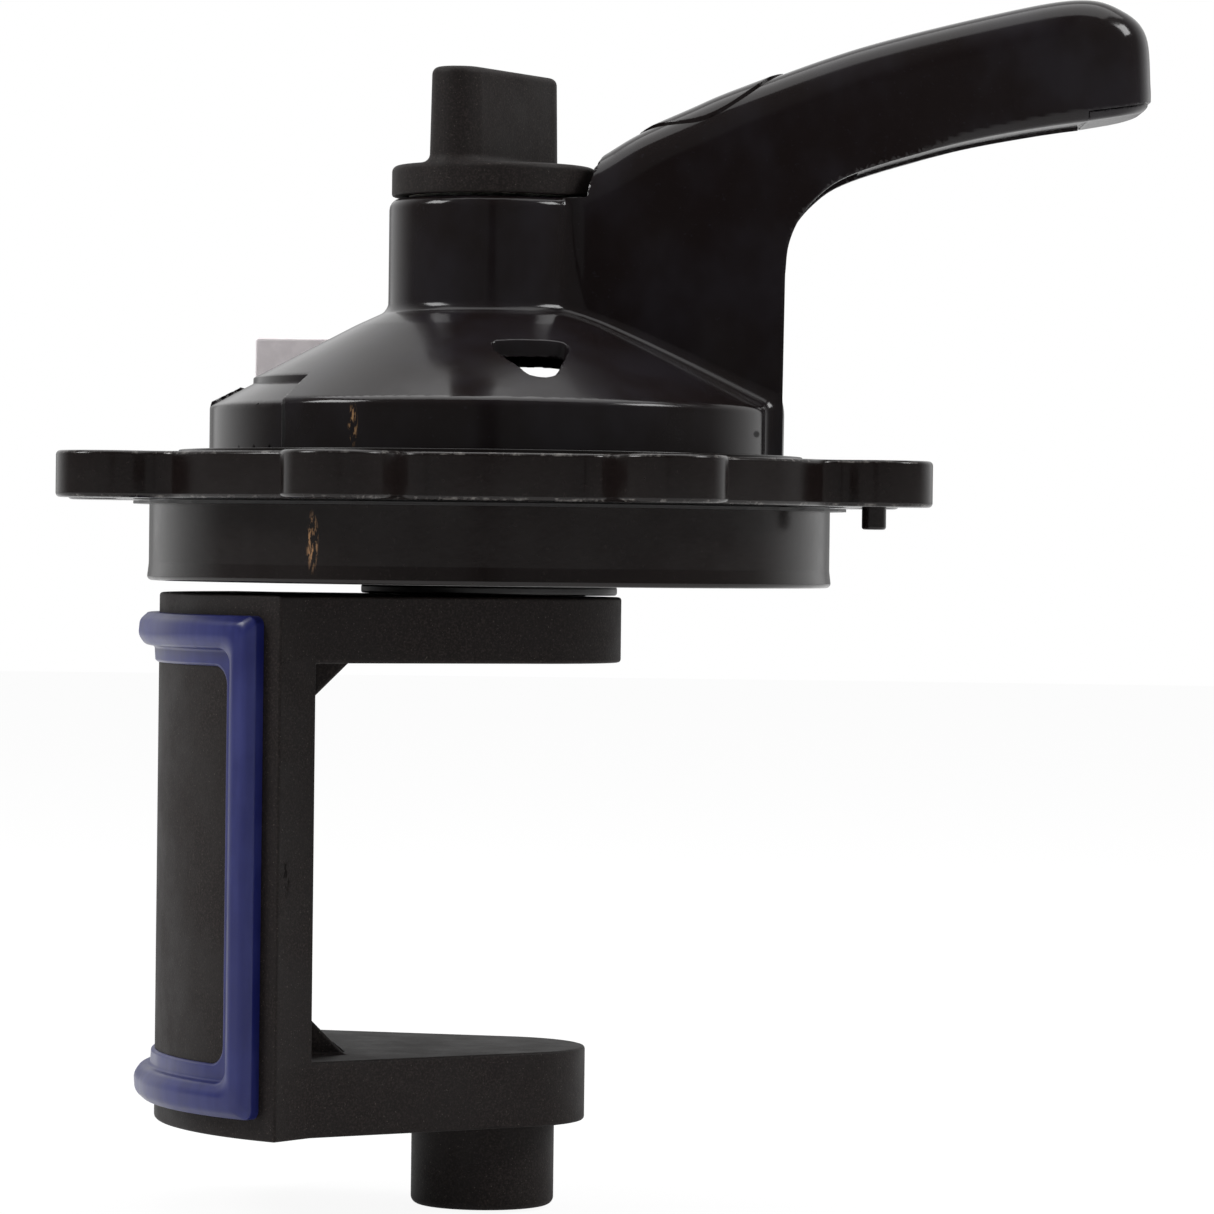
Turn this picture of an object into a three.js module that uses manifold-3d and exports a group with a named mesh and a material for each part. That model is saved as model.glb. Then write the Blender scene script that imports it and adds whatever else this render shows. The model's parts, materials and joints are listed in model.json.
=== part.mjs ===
// Top-access diverter valve head for a pool vacuum line: a lobed lid, a lever handle with a
// locking knob above it, and a ported diverter with an elastomer port seal below it.
// Millimetres, +Z up. Origin: centre of the pivot pin's end face, on the turning axis.
// +X points along the lever.

import * as THREE from 'three';
import { mergeVertices } from 'three/addons/utils/BufferGeometryUtils.js';
import Module from 'manifold-3d';

const wasm = await Module();
wasm.setup();

const degree = Math.PI / 180;

// ---------------------------------------------------------------- driving dimensions

// Diverter: pivot pin, two arms, the gate that covers a port, and the drive shaft.
const pivotRadius = 12.6;
const pivotLength = 15.1;
const pivotEdge = 1.4;
const lowerArmThickness = 13;
const lowerHubRadius = 17.9;
const upperArmThickness = 11.5;
const upperHubRadius = 23.4;
const gateHeight = 92.3;
const gateOuterRadius = 58;
const gateWall = 10;
const gateHalfAngle = 45;
const gateYaw = 9;
const gateEdge = 0.7;
const armInset = 1;
const gussetLeg = 16.8;
const gussetThickness = 4;
const gussetSpread = 40;
const shaftRadius = 17;
const shaftHeadHeight = 14;
const driveNotchDepth = 7.5;
const driveNotchWidth = 10;
const driveNotchReach = 4.6;
const shaftEdge = 0.8;
const insertRadius = 7.4;
const insertLength = 17;

// Port seal: a closed loop seated in a groove of the gate's outer face.
const sealWidth = 8.7;
const sealSide = 3.7;
const sealTop = 3.5;
const sealBottom = 3.6;
const sealInnerCorner = 3.2;
const sealOuterCorner = 1.6;
const sealSeat = 1.3;
// Its section from the inner to the outer side: share of the half width, height off the face.
const sealSection = [
  [-1, 0.3], [-0.88, 0.7], [-0.3, 0.8], [-0.12, 3.05], [0.3, 3.6], [0.72, 3.35], [1, 2.2],
];

// Lid: lobed plate, skirt, boss for the shaft.
const plateThickness = 8;
const rimOverhang = 6.3;
const plateEdge = 0.7;
const lobeCount = 8;
const lobeReach = 4.4;
const lobeRadius = 10.1;
const lobePhase = -19.3;
const lobeFillet = 4.5;
const screwHoleRadius = 3.3;
const lidSkirtRadius = 60;
const lidSkirtLength = 14.2;
const lidSkirtWall = 4;
const lidSkirtEdge = 0.8;
const lidFlare = 0.35;
const lidFlareHeight = 3;
const lidRibThickness = 2.4;
const lidRibSetback = 2;
const plateRingMargin = 4.5;
const plateRingWidth = 3;
const plateRingHeight = 0.5;
const bossWall = 5.2;
const bossRise = 2;
const dowelRadius = 2.1;
const dowelLength = 3.9;
const dowelEdge = 0.4;
const gasketWidth = 2.6;
const gasketThickness = 0.5;
const bushingWall = 2.2;
const bushingFlange = 1.6;
const bushingFlangeWidth = 2.9;

// Position tab: a light upright tongue on the lid.
const tabWidth = 14;
const tabThickness = 2.4;
const tabHeight = 21.8;
const tabCorner = 0.8;
const tabEdge = 0.3;
const tabShoulder = 2;
const tabRoot = 3;
const tabCentreX = -37.4;
const tabClearance = 5.5;

// Thrust washer, shaft seals, retaining ring.
const thrustWidth = 5.3;
const thrustThickness = 1.5;
const oRingSection = 1.5;
const oRingPitch = 6.4;
const ringThickness = 1.4;
const ringDepth = 1.3;
const ringWidth = 3.9;
const ringMouth = 18;
const ringLugSweep = 8;
const ringLugRise = 2.2;

// Handle: dome shell, neck, web and lever in one moulding.
const domeRadius = 50.5;
const domeSkirtHeight = 8.1;
const domeWall = 2;
const domeEdge = 0.6;
const neckRadius = 18.4;
const neckTaper = 0.2;
const neckLength = 19.8;
const neckEdge = 1.4;
const neckWall = 3;
const neckFoot = 1.6;
const legOverlap = 4;
const coneFlareRadius = 24;
const coneRise = 14.1;
const flareRise = 2.6;
const coneBlend = 14;
const coreTubeRadius = 8.6;
const coreTubeClearance = 6.4;
const windowWidth = 12;
const windowInner = 30.4;
const windowOuter = 43.5;
const windowAzimuth = 78.4;
const windowCorner = 1;
const panelHalfAngle = 43.7;
const panelInner = 42;
const panelDepth = 0.8;
const webHalfWidth = 13.2;
const webDraft = 0.5;
const webEdge = 1.6;
const webShoulderX = 36;
const webShoulderHeight = 53.4;
const webRootHeight = 49.4;
const coreEdge = 2;
const leverCrown = 7;
const crownSteps = 4;
const leverWall = 3;
const leverTipStart = 98;
const leverTipNarrowing = 6;
const gripStart = 64;
const gripDepth = 1.8;
const gripInset = 1;
const gripRoof = 4.5;

// Locking knob, its washer and its stud.
const knobFlangeRadius = 18;
const knobFlangeHeight = 5.4;
const knobEdge = 1.2;
const wingLength = 35;
const wingThickness = 10;
const wingHeight = 16.7;
const wingYaw = 61;
const wingEdge = 1;
const wingSunk = 3;
const washerRadius = 15;
const washerThickness = 1;
const studRadius = 5;
const studEdge = 0.8;
const studThreadDepth = 12;
const studHeadRadius = 7.5;
const studHeadHeight = 2.6;

// Clearance between pieces that touch, and the wider one between pieces that turn.
const gap = 0.3;
const turningGap = 0.4;

// How far a solid runs past a face that it is joined to or cuts through.
const overrun = 1;

// Lever in side view, as the top and the underside of its outline: X, height over the dome's rim.
const leverTop = [
  [15.5, 50.6], [25.5, 57], [43, 64.7], [64.1, 71.8], [88.8, 78.3],
  [102.4, 80.7], [109.6, 79.3], [114.3, 74.2], [115.4, 64.6],
];
const leverUnderside = [
  [114.6, 62.3], [110.3, 60.6], [96.2, 57.9], [82.1, 55], [68, 51],
  [61, 48.3], [57.2, 45.6], [53.9, 41.8], [51.8, 36.9], [51.2, 31.4],
];

// ---------------------------------------------------------------- places that follow

const gateTop = pivotLength + gateHeight;
const gateInnerRadius = gateOuterRadius - gateWall;
const thrustBottom = gateTop + gap;
const lidBottom = thrustBottom + thrustThickness + gap;
const plateBottom = lidBottom + lidSkirtLength;
const plateTop = plateBottom + plateThickness;
const bossTop = plateTop + bossRise;
const bushingOuter = shaftRadius + gap + bushingWall;
const bossRadius = bushingOuter + gap + bossWall;
const plateRimRadius = lidSkirtRadius + rimOverhang;
const lobePitchRadius = plateRimRadius + lobeReach;
const plateRingRadius = domeRadius + plateRingMargin;
const ringBottom = bossTop + bushingFlange + 2 * gap;
const shaftTop = plateTop + shaftHeadHeight;
const notchFloor = shaftTop - driveNotchDepth;
const skirtBottom = plateTop + plateRingHeight + turningGap;
const domeShoulder = skirtBottom + domeSkirtHeight;
const coneTop = domeShoulder + coneRise;
const neckBase = coneTop + flareRise;
const neckTop = neckBase + neckLength;
const knobBottom = neckTop + turningGap;
const webOuter = leverUnderside.at(-1)[0];
const webShoulderZ = skirtBottom + webShoulderHeight;
const webRootZ = skirtBottom + webRootHeight;
const leverTipX = leverTop.at(-1)[0];
const tabFaceY = Math.sqrt(
  (domeRadius + tabClearance) ** 2 - (tabCentreX + tabWidth / 2) ** 2);
const tabCentreY = tabFaceY + tabThickness / 2;

// ---------------------------------------------------------------- shape tools

// Outline with rounded corners: each corner is [x, y, radius].
function rounded(corners, arcStep = 22 * degree) {
  const points = [];
  corners.forEach(([x, y, radius = 0], index) => {
    const corner = new THREE.Vector2(x, y);
    const [previousX, previousY] = corners.at(index - 1);
    const [nextX, nextY] = corners[(index + 1) % corners.length];
    const back = new THREE.Vector2(previousX, previousY).sub(corner);
    const ahead = new THREE.Vector2(nextX, nextY).sub(corner);
    if (radius === 0) {
      points.push(corner);
      return;
    }
    const longest = 0.48 * Math.min(back.length(), ahead.length());
    back.normalize();
    ahead.normalize();
    const half = Math.acos(back.dot(ahead)) / 2;
    const reach = Math.min(radius / Math.tan(half), longest);
    const realRadius = reach * Math.tan(half);
    const centre = back.clone().add(ahead).normalize()
      .multiplyScalar(realRadius / Math.sin(half)).add(corner);
    const start = back.multiplyScalar(reach).add(corner).sub(centre).angle();
    const end = ahead.multiplyScalar(reach).add(corner).sub(centre).angle();
    const sweep = Math.atan2(Math.sin(end - start), Math.cos(end - start));
    const steps = Math.max(1, Math.ceil(Math.abs(sweep) / arcStep - 1e-6));
    for (let step = 0; step <= steps; step += 1) {
      const angle = start + (sweep * step) / steps;
      points.push(new THREE.Vector2(Math.cos(angle), Math.sin(angle))
        .multiplyScalar(realRadius).add(centre));
    }
  });
  return points;
}

// Points of a circle's arc, in degrees.
function arc(radius, from, to, steps, centreX = 0, centreY = 0) {
  return Array.from({ length: steps + 1 }, (_, step) => {
    const angle = (from + ((to - from) * step) / steps) * degree;
    return [centreX + radius * Math.cos(angle), centreY + radius * Math.sin(angle)];
  });
}

function shapeOf(points) {
  return new THREE.Shape(points.map((point) => (
    Array.isArray(point) ? new THREE.Vector2(point[0], point[1]) : point)));
}

// A closed geometry as a solid that can be joined and cut.
function solidOf(geometry) {
  geometry.deleteAttribute('normal');
  geometry.deleteAttribute('uv');
  const merged = mergeVertices(geometry, 1e-4);
  const index = merged.index.array;
  const faces = [];
  for (let face = 0; face < index.length; face += 3) {
    const [a, b, c] = index.slice(face, face + 3);
    if (a !== b && b !== c && c !== a) faces.push(a, b, c);
  }
  return new wasm.Manifold(new wasm.Mesh({
    numProp: 3,
    vertProperties: new Float32Array(merged.attributes.position.array),
    triVerts: new Uint32Array(faces),
  }));
}

// Profile of [radius, z] corners turned about the Z axis; a profile off the axis closes on itself.
function revolve(corners, segments = 40) {
  const points = rounded(corners);
  const onAxis = corners[0][0] === 0;
  if (!onAxis) points.push(points[0].clone());
  return solidOf(new THREE.LatheGeometry(points, segments).rotateX(Math.PI / 2));
}

function disc(radius, bottom, top, segments = 32) {
  return revolve([[0, bottom], [radius, bottom], [radius, top], [0, top]], segments);
}

function tube(outer, inner, bottom, top, segments = 40) {
  return revolve([[inner, bottom], [outer, bottom], [outer, top], [inner, top]], segments);
}

// Flat shape raised from one height to another, its rims rounded by edge.
function plate(shape, bottom, top, edge = 0, edgeSteps = 2) {
  const geometry = new THREE.ExtrudeGeometry(shape, {
    depth: top - bottom - 2 * edge,
    bevelEnabled: edge > 0,
    bevelThickness: edge,
    bevelSize: edge,
    bevelOffset: -edge,
    bevelSegments: edgeSteps,
    curveSegments: 12,
  });
  return geometry.translate(0, 0, bottom + edge);
}

// Side-view shape (X, Z) as wide as twice halfWidth, centred on the plane Y = 0.
function slab(shape, halfWidth, edge = 0, edgeSteps = 2, centreY = 0) {
  return solidOf(plate(shape, -halfWidth, halfWidth, edge, edgeSteps)
    .rotateX(Math.PI / 2).translate(0, centreY, 0));
}

// Closed skin through rings of equal length, with a flat cap on the first and on the last.
function loft(rings) {
  const size = rings[0].length;
  const positions = rings.flat().flatMap((point) => point.toArray());
  const index = [];
  for (let ring = 0; ring < rings.length - 1; ring += 1) {
    for (let point = 0; point < size; point += 1) {
      const here = ring * size + point;
      const beside = ring * size + ((point + 1) % size);
      index.push(here, beside, here + size, beside, beside + size, here + size);
    }
  }
  const last = (rings.length - 1) * size;
  for (let point = 1; point < size - 1; point += 1) {
    index.push(0, point + 1, point, last, last + point, last + point + 1);
  }
  const geometry = new THREE.BufferGeometry();
  geometry.setAttribute('position', new THREE.Float32BufferAttribute(positions, 3));
  geometry.setIndex(index);
  return solidOf(geometry);
}

function join(first, ...others) {
  return others.reduce((whole, piece) => whole.add(piece), first);
}

function cut(body, ...tools) {
  return tools.reduce((rest, tool) => rest.subtract(tool), body);
}

function meshOf(name, solid, material) {
  const { vertProperties, triVerts } = solid.getMesh();
  const geometry = new THREE.BufferGeometry();
  geometry.setAttribute('position', new THREE.BufferAttribute(vertProperties, 3));
  geometry.setIndex(new THREE.BufferAttribute(triVerts, 1));
  geometry.computeVertexNormals();
  const mesh = new THREE.Mesh(geometry, material);
  mesh.name = name;
  return mesh;
}

function plastic(color, roughness) {
  return new THREE.MeshStandardMaterial({ color, roughness, metalness: 0 });
}

function metal(color, roughness) {
  return new THREE.MeshStandardMaterial({ color, roughness, metalness: 1 });
}

// ---------------------------------------------------------------- lid

// Rim of the plate: arcs between lobes, each lobe joined to the rim by two hollow fillets.
function plateOutline() {
  const filletPitch = plateRimRadius + lobeFillet;
  const filletAngle = Math.acos(
    (filletPitch ** 2 + lobePitchRadius ** 2 - (lobeRadius + lobeFillet) ** 2)
    / (2 * filletPitch * lobePitchRadius)) / degree;
  const pitchAngle = 360 / lobeCount;
  const points = [];
  for (let lobe = 0; lobe < lobeCount; lobe += 1) {
    const azimuth = lobePhase + lobe * pitchAngle;
    const lobeX = lobePitchRadius * Math.cos(azimuth * degree);
    const lobeY = lobePitchRadius * Math.sin(azimuth * degree);
    const fillet = (side) => {
      const at = (azimuth + side * filletAngle) * degree;
      const x = filletPitch * Math.cos(at);
      const y = filletPitch * Math.sin(at);
      const toAxis = Math.atan2(-y, -x) / degree;
      const toLobe = Math.atan2(lobeY - y, lobeX - x) / degree;
      const turn = ((toLobe - toAxis + 540) % 360) - 180;
      return { x, y, toAxis, toLobe: toAxis + turn };
    };
    const before = fillet(-1);
    const after = fillet(1);
    const lobeStart = before.toLobe + 180;
    const lobeSweep = (after.toLobe + 180 - lobeStart + 720) % 360;
    points.push(
      ...arc(lobeFillet, before.toAxis, before.toLobe, 3, before.x, before.y),
      ...arc(lobeRadius, lobeStart, lobeStart + lobeSweep, 8, lobeX, lobeY).slice(1, -1),
      ...arc(lobeFillet, after.toLobe, after.toAxis, 3, after.x, after.y),
      ...arc(plateRimRadius, azimuth + filletAngle, azimuth + pitchAngle - filletAngle, 4)
        .slice(1, -1),
    );
  }
  return points;
}

function lobeCentres() {
  return Array.from({ length: lobeCount }, (_, lobe) => {
    const azimuth = (lobePhase + (360 / lobeCount) * lobe) * degree;
    return [lobePitchRadius * Math.cos(azimuth), lobePitchRadius * Math.sin(azimuth)];
  });
}

function makeLid() {
  const shape = shapeOf(plateOutline());
  // The first lobe carries the locating dowel; the others are drilled for screws.
  const [dowelCentre, ...screwCentres] = lobeCentres();
  screwCentres.forEach(([x, y]) => {
    shape.holes.push(new THREE.Path(arc(screwHoleRadius, 0, 330, 11, x, y)
      .map(([holeX, holeY]) => new THREE.Vector2(holeX, holeY))));
  });
  const skirtInner = lidSkirtRadius - lidSkirtWall;
  const lobedPlate = solidOf(plate(shape, plateBottom, plateTop, plateEdge, 1));
  const skirt = revolve([
    [skirtInner, lidBottom], [lidSkirtRadius + lidFlare, lidBottom, lidSkirtEdge],
    [lidSkirtRadius, lidBottom + lidFlareHeight], [lidSkirtRadius, plateBottom + overrun],
    [skirtInner, plateBottom + overrun],
  ], 48);
  const boss = tube(bossRadius, shaftRadius, lidBottom, bossTop);
  const topRing = tube(plateRingRadius, plateRingRadius - plateRingWidth,
    plateTop - overrun, plateTop + plateRingHeight);
  const dowel = revolve([
    [0, plateBottom - dowelLength], [dowelRadius, plateBottom - dowelLength, dowelEdge],
    [dowelRadius, plateBottom + overrun], [0, plateBottom + overrun],
  ], 16).translate([...dowelCentre, 0]);
  // Stiffening ribs join the boss to the skirt under the plate, midway between the lobes.
  const ribs = Array.from({ length: lobeCount }, (_, rib) => {
    const length = skirtInner - bossRadius + 2 * overrun;
    const height = lidSkirtLength - lidRibSetback + overrun;
    const box = new THREE.BoxGeometry(length, lidRibThickness, height);
    box.translate((skirtInner + bossRadius) / 2, 0, plateBottom + overrun - height / 2);
    box.rotateZ((lobePhase + (rib + 0.5) * (360 / lobeCount)) * degree);
    return solidOf(box);
  });
  // The bushing sits in the boss, its flange in a seat on top.
  const bore = disc(bushingOuter + gap, lidBottom - overrun, bossTop + overrun, 40);
  return cut(join(lobedPlate, skirt, boss, topRing, dowel, ...ribs), bore, tabSlot());
}

function makeGasket() {
  const inner = lidSkirtRadius + gap;
  return tube(inner + gasketWidth, inner, plateBottom - gap - gasketThickness, plateBottom - gap, 48);
}

function makeBushing() {
  const inner = shaftRadius + gap;
  const seat = bossTop + gap;
  const flange = bushingOuter + bushingFlangeWidth;
  return revolve([
    [inner, lidBottom + gap], [bushingOuter, lidBottom + gap], [bushingOuter, seat],
    [flange, seat], [flange, seat + bushingFlange - gap],
    [inner, seat + bushingFlange - gap],
  ]);
}

// The tab stands on the lid beside the dome, clear of the turning web; its root is in a slot.
function makeTab() {
  const half = tabWidth / 2;
  const bottom = plateTop + gap;
  const root = half - tabShoulder;
  return slab(shapeOf(rounded([
    [-root, plateTop - tabRoot], [root, plateTop - tabRoot], [root, bottom], [half, bottom],
    [half, bottom + tabHeight, tabCorner], [-half, bottom + tabHeight, tabCorner],
    [-half, bottom], [-root, bottom],
  ])), tabThickness / 2, tabEdge, 1).translate([tabCentreX, tabCentreY, 0]);
}

function tabSlot() {
  const box = new THREE.BoxGeometry(tabWidth - 2 * tabShoulder + 2 * gap,
    tabThickness + 2 * gap, 2 * (tabRoot + gap));
  return solidOf(box.translate(tabCentreX, tabCentreY, plateTop));
}

// ---------------------------------------------------------------- diverter

// Seal loop as a rounded rectangle in the unrolled outer face of the gate, where along is the
// arc length from the gate's centre line. Each station gives its point at any distance across
// from the loop's middle line, so the corners can grow tighter towards the outer edge.
function sealPath() {
  const halfAlong = gateOuterRadius * gateHalfAngle * degree - sealSide - sealWidth / 2;
  const bottom = pivotLength + sealBottom + sealWidth / 2;
  const top = gateTop - sealTop - sealWidth / 2;
  const cornerPoint = ([alongSide, zSide], angle, across) => {
    const radius = sealInnerCorner
      + (sealOuterCorner - sealInnerCorner) * (across / sealWidth + 0.5);
    return [
      alongSide * (halfAlong + across - radius) + radius * Math.cos(angle * degree),
      (top + bottom) / 2 + zSide * ((top - bottom) / 2 + across - radius)
        + radius * Math.sin(angle * degree),
    ];
  };
  const corners = [[1, 1], [-1, 1], [-1, -1], [1, -1]];
  const cornerSteps = 4;
  const legSteps = 8;
  const stations = [];
  corners.forEach((corner, index) => {
    const from = 90 * index;
    for (let step = 0; step <= cornerSteps; step += 1) {
      const angle = from + (90 * step) / cornerSteps;
      stations.push((across) => cornerPoint(corner, angle, across));
    }
    const next = corners[(index + 1) % corners.length];
    for (let step = 1; index % 2 === 0 && step < legSteps; step += 1) {
      const share = step / legSteps;
      stations.push((across) => {
        const first = cornerPoint(corner, from + 90, across);
        const last = cornerPoint(next, from + 90, across);
        return first.map((value, axis) => value + (last[axis] - value) * share);
      });
    }
  });
  return stations;
}

// Closed loft of a profile [across, height over the gate's face] along the seal loop.
function sweepOnGate(profile) {
  const stations = sealPath();
  const positions = [];
  stations.forEach((pointAt) => {
    profile.forEach(([across, height]) => {
      const [along, z] = pointAt(across);
      const angle = Math.PI + along / gateOuterRadius;
      const radius = gateOuterRadius + height;
      positions.push(radius * Math.cos(angle), radius * Math.sin(angle), z);
    });
  });
  const index = [];
  const size = profile.length;
  stations.forEach((_, station) => {
    const here = station * size;
    const next = ((station + 1) % stations.length) * size;
    for (let point = 0; point < size; point += 1) {
      const beside = (point + 1) % size;
      index.push(here + point, next + beside, next + point);
      index.push(here + point, here + beside, next + beside);
    }
  });
  const geometry = new THREE.BufferGeometry();
  geometry.setAttribute('position', new THREE.Float32BufferAttribute(positions, 3));
  geometry.setIndex(index);
  return solidOf(geometry);
}

function makeSeal() {
  const half = sealWidth / 2;
  return sweepOnGate([
    [-half, -sealSeat], ...sealSection.map(([share, height]) => [share * half, height]),
    [half, -sealSeat],
  ]);
}

function sealGroove() {
  const half = sealWidth / 2 + gap;
  return sweepOnGate([
    [-half, -sealSeat - gap], [-half, overrun], [half, overrun], [half, -sealSeat - gap],
  ]);
}

// Arm from the gate to its hub: it narrows along two lines tangent to the hub.
function armShape(hubRadius) {
  const root = gateInnerRadius + gateWall / 2;
  const tangent = Math.acos(hubRadius / root) / degree;
  const near = 180 + gateHalfAngle - armInset;
  const far = 180 - gateHalfAngle + armInset;
  return shapeOf([
    ...arc(root, far, near, 12),
    ...arc(hubRadius, near + tangent, 360 + far - tangent, 14),
  ]);
}

function gusset(corner, side, up) {
  const inner = -Math.sqrt(gateInnerRadius ** 2 - (gussetSpread / 2) ** 2);
  const foot = inner + gussetLeg;
  // Both legs run on into the gate and the arm; the edge between them stays at 45 degrees.
  const shape = shapeOf([
    [inner - overrun, corner - up * overrun], [foot + overrun, corner - up * overrun],
    [inner - overrun, corner + up * (gussetLeg + overrun)],
  ]);
  return slab(shape, gussetThickness / 2, 0, 1, side * (gussetSpread - gussetThickness) / 2);
}

function makeDiverter() {
  const gate = solidOf(plate(shapeOf([
    ...arc(gateOuterRadius, 180 - gateHalfAngle, 180 + gateHalfAngle, 20),
    ...arc(gateInnerRadius, 180 + gateHalfAngle, 180 - gateHalfAngle, 16),
  ]), pivotLength, gateTop, gateEdge, 1));
  const upperBottom = gateTop - upperArmThickness;
  const lowerTop = pivotLength + lowerArmThickness;
  const upperArm = solidOf(plate(armShape(upperHubRadius), upperBottom, gateTop, gateEdge, 1));
  const lowerArm = solidOf(plate(armShape(lowerHubRadius), pivotLength, lowerTop, gateEdge, 1));
  const gussets = [-1, 1].flatMap((side) => [
    gusset(upperBottom, side, -1), gusset(lowerTop, side, 1),
  ]);
  const pivot = revolve([
    [0, 0], [pivotRadius, 0, pivotEdge], [pivotRadius, pivotLength + overrun],
    [0, pivotLength + overrun],
  ]);
  const turned = cut(join(gate, upperArm, lowerArm, ...gussets), sealGroove())
    .rotate([0, 0, gateYaw]);
  return cut(join(turned, pivot, makeShaft()), ...shaftCuts());
}

// Shaft of the diverter, with its chamfered top.
function makeShaft() {
  return revolve([
    [0, gateTop - overrun], [shaftRadius, gateTop - overrun], [shaftRadius, shaftTop, shaftEdge],
    [0, shaftTop],
  ]);
}

function oRingHeights() {
  const middle = (lidBottom + plateTop) / 2;
  return [middle - oRingPitch / 2, middle + oRingPitch / 2];
}

// O-ring grooves, retaining ring groove, two drive notches and the insert's pocket.
function shaftCuts() {
  const grooves = oRingHeights().map((height) => tube(shaftRadius + overrun,
    shaftRadius - 2 * oRingSection, height - oRingSection - gap, height + oRingSection + gap));
  const ringGroove = tube(shaftRadius + overrun, shaftRadius - ringDepth - gap,
    ringBottom - gap, ringBottom + ringThickness + gap);
  const notches = [0, 180].map((azimuth) => solidOf(
    new THREE.BoxGeometry(driveNotchReach + overrun, driveNotchWidth, driveNotchDepth + overrun)
      .translate(shaftRadius + (overrun - driveNotchReach) / 2, 0,
        notchFloor + (driveNotchDepth + overrun) / 2)
      .rotateZ(azimuth * degree)));
  const pocket = disc(insertRadius + gap, shaftTop - insertLength - gap, shaftTop + overrun);
  return [...grooves, ringGroove, ...notches, pocket];
}

function makeInsert() {
  const body = disc(insertRadius, shaftTop - insertLength, shaftTop);
  const bore = disc(studRadius + gap, shaftTop - studThreadDepth - 2 * gap, shaftTop + overrun);
  return cut(body, bore);
}

function makeORing(height) {
  const centre = shaftRadius - oRingSection + gap / 2;
  const section = arc(oRingSection - gap / 2, 0, 300, 5, centre, height);
  return revolve(section, 28);
}

function makeThrustWasher() {
  const inner = shaftRadius + gap;
  return tube(inner + thrustWidth, inner, thrustBottom, thrustBottom + thrustThickness);
}

// Open ring in the shaft's groove, with two lugs at its mouth.
function makeRetainingRing() {
  const inner = shaftRadius - ringDepth;
  const outer = inner + ringWidth;
  const lug = outer + ringLugRise;
  const lugEnd = ringMouth + ringLugSweep;
  const lugFoot = lugEnd + ringLugSweep / 2;
  const shape = shapeOf([
    ...arc(outer, lugFoot, 360 - lugFoot, 24),
    ...arc(lug, 360 - lugEnd, 360 - ringMouth, 2),
    ...arc(inner, 360 - ringMouth, ringMouth, 24),
    ...arc(lug, ringMouth, lugEnd, 2),
  ]);
  return solidOf(plate(shape, ringBottom, ringBottom + ringThickness)).rotate([0, 0, 90]);
}

// ---------------------------------------------------------------- handle

const coneSlope = (coneTop - domeShoulder) / (domeRadius - coneFlareRadius);
const coneDrop = domeWall * Math.hypot(1, coneSlope);

// Inner surface of the dome from its skirt up to the neck, as [radius, z] corners.
function domeInside() {
  const innerRadius = domeRadius - domeWall;
  return [
    [innerRadius, skirtBottom],
    [innerRadius, domeShoulder - coneDrop + coneSlope * domeWall],
    [coneFlareRadius - domeWall, coneTop - coneDrop],
    [neckRadius - neckWall, neckBase - coneDrop],
  ];
}

// Skirt, cone and neck, with a tube for the stud inside the neck.
function makeDome() {
  const cavityTop = neckTop - 2 * neckWall;
  const bore = studRadius + 2 * gap;
  const tubeBottom = shaftTop + coreTubeClearance;
  const [skirtInside, ...rest] = domeInside();
  return revolve([
    skirtInside,
    [domeRadius, skirtBottom],
    [domeRadius, domeShoulder, domeEdge],
    [coneFlareRadius, coneTop, coneBlend],
    [neckRadius + neckTaper, neckBase, neckFoot],
    [neckRadius, neckTop, neckEdge],
    [bore, neckTop],
    [bore, tubeBottom],
    [coreTubeRadius, tubeBottom],
    [coreTubeRadius, cavityTop],
    [neckRadius - neckWall, cavityTop],
    ...rest.reverse(),
  ], 48);
}

function domeHollow() {
  const [[skirtInside], ...rest] = domeInside();
  return revolve([
    [0, plateBottom], [skirtInside, plateBottom], ...rest, [0, rest.at(-1)[1]],
  ], 48);
}

// Legs under the neck that drive the shaft by its two notches.
function driveLegs() {
  const clearance = 2 * gap;
  const inner = shaftRadius - driveNotchReach + clearance;
  const outer = neckRadius - neckWall / 2;
  const bottom = notchFloor + gap;
  const top = neckBase + legOverlap;
  return [0, 180].map((azimuth) => solidOf(
    new THREE.BoxGeometry(outer - inner, driveNotchWidth - 2 * clearance, top - bottom)
      .translate((outer + inner) / 2, 0, (top + bottom) / 2)
      .rotateZ(azimuth * degree)));
}

// Slots through the dome, round at their outer end and square at their inner end.
function domeWindow(azimuth) {
  const half = windowWidth / 2;
  const outerEnd = windowOuter - half;
  const shape = shapeOf([
    ...arc(half, -90, 90, 8, outerEnd, 0),
    ...arc(windowCorner, 90, 180, 2, windowInner + windowCorner, half - windowCorner),
    ...arc(windowCorner, 180, 270, 2, windowInner + windowCorner, windowCorner - half),
  ]);
  return solidOf(plate(shape, skirtBottom, neckTop)).rotate([0, 0, azimuth]);
}

// Shallow recess round the side of the dome opposite the lever.
function pointerRecess() {
  const coneAt = (radius) => domeShoulder + (domeRadius - radius) * coneSlope;
  const sunk = panelDepth * Math.hypot(1, coneSlope);
  const far = domeRadius + overrun;
  const band = revolve([
    [panelInner, coneAt(panelInner) - sunk],
    [domeRadius - panelDepth, coneAt(domeRadius - panelDepth) - sunk],
    [domeRadius - panelDepth, plateTop],
    [far, plateTop],
    [far, coneTop],
    [panelInner, coneTop],
  ], 48);
  const wedge = solidOf(plate(shapeOf([
    [0, 0], ...arc(2 * far, 180 - panelHalfAngle, 180 + panelHalfAngle, 8),
  ]), plateTop - overrun, coneTop + overrun));
  return band.intersect(wedge);
}

// Side-view points of the lever at their heights, moved up by a further rise.
function raised(points, rise = 0) {
  return points.map(([x, height]) => [x, skirtBottom + height + rise]);
}

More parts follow.
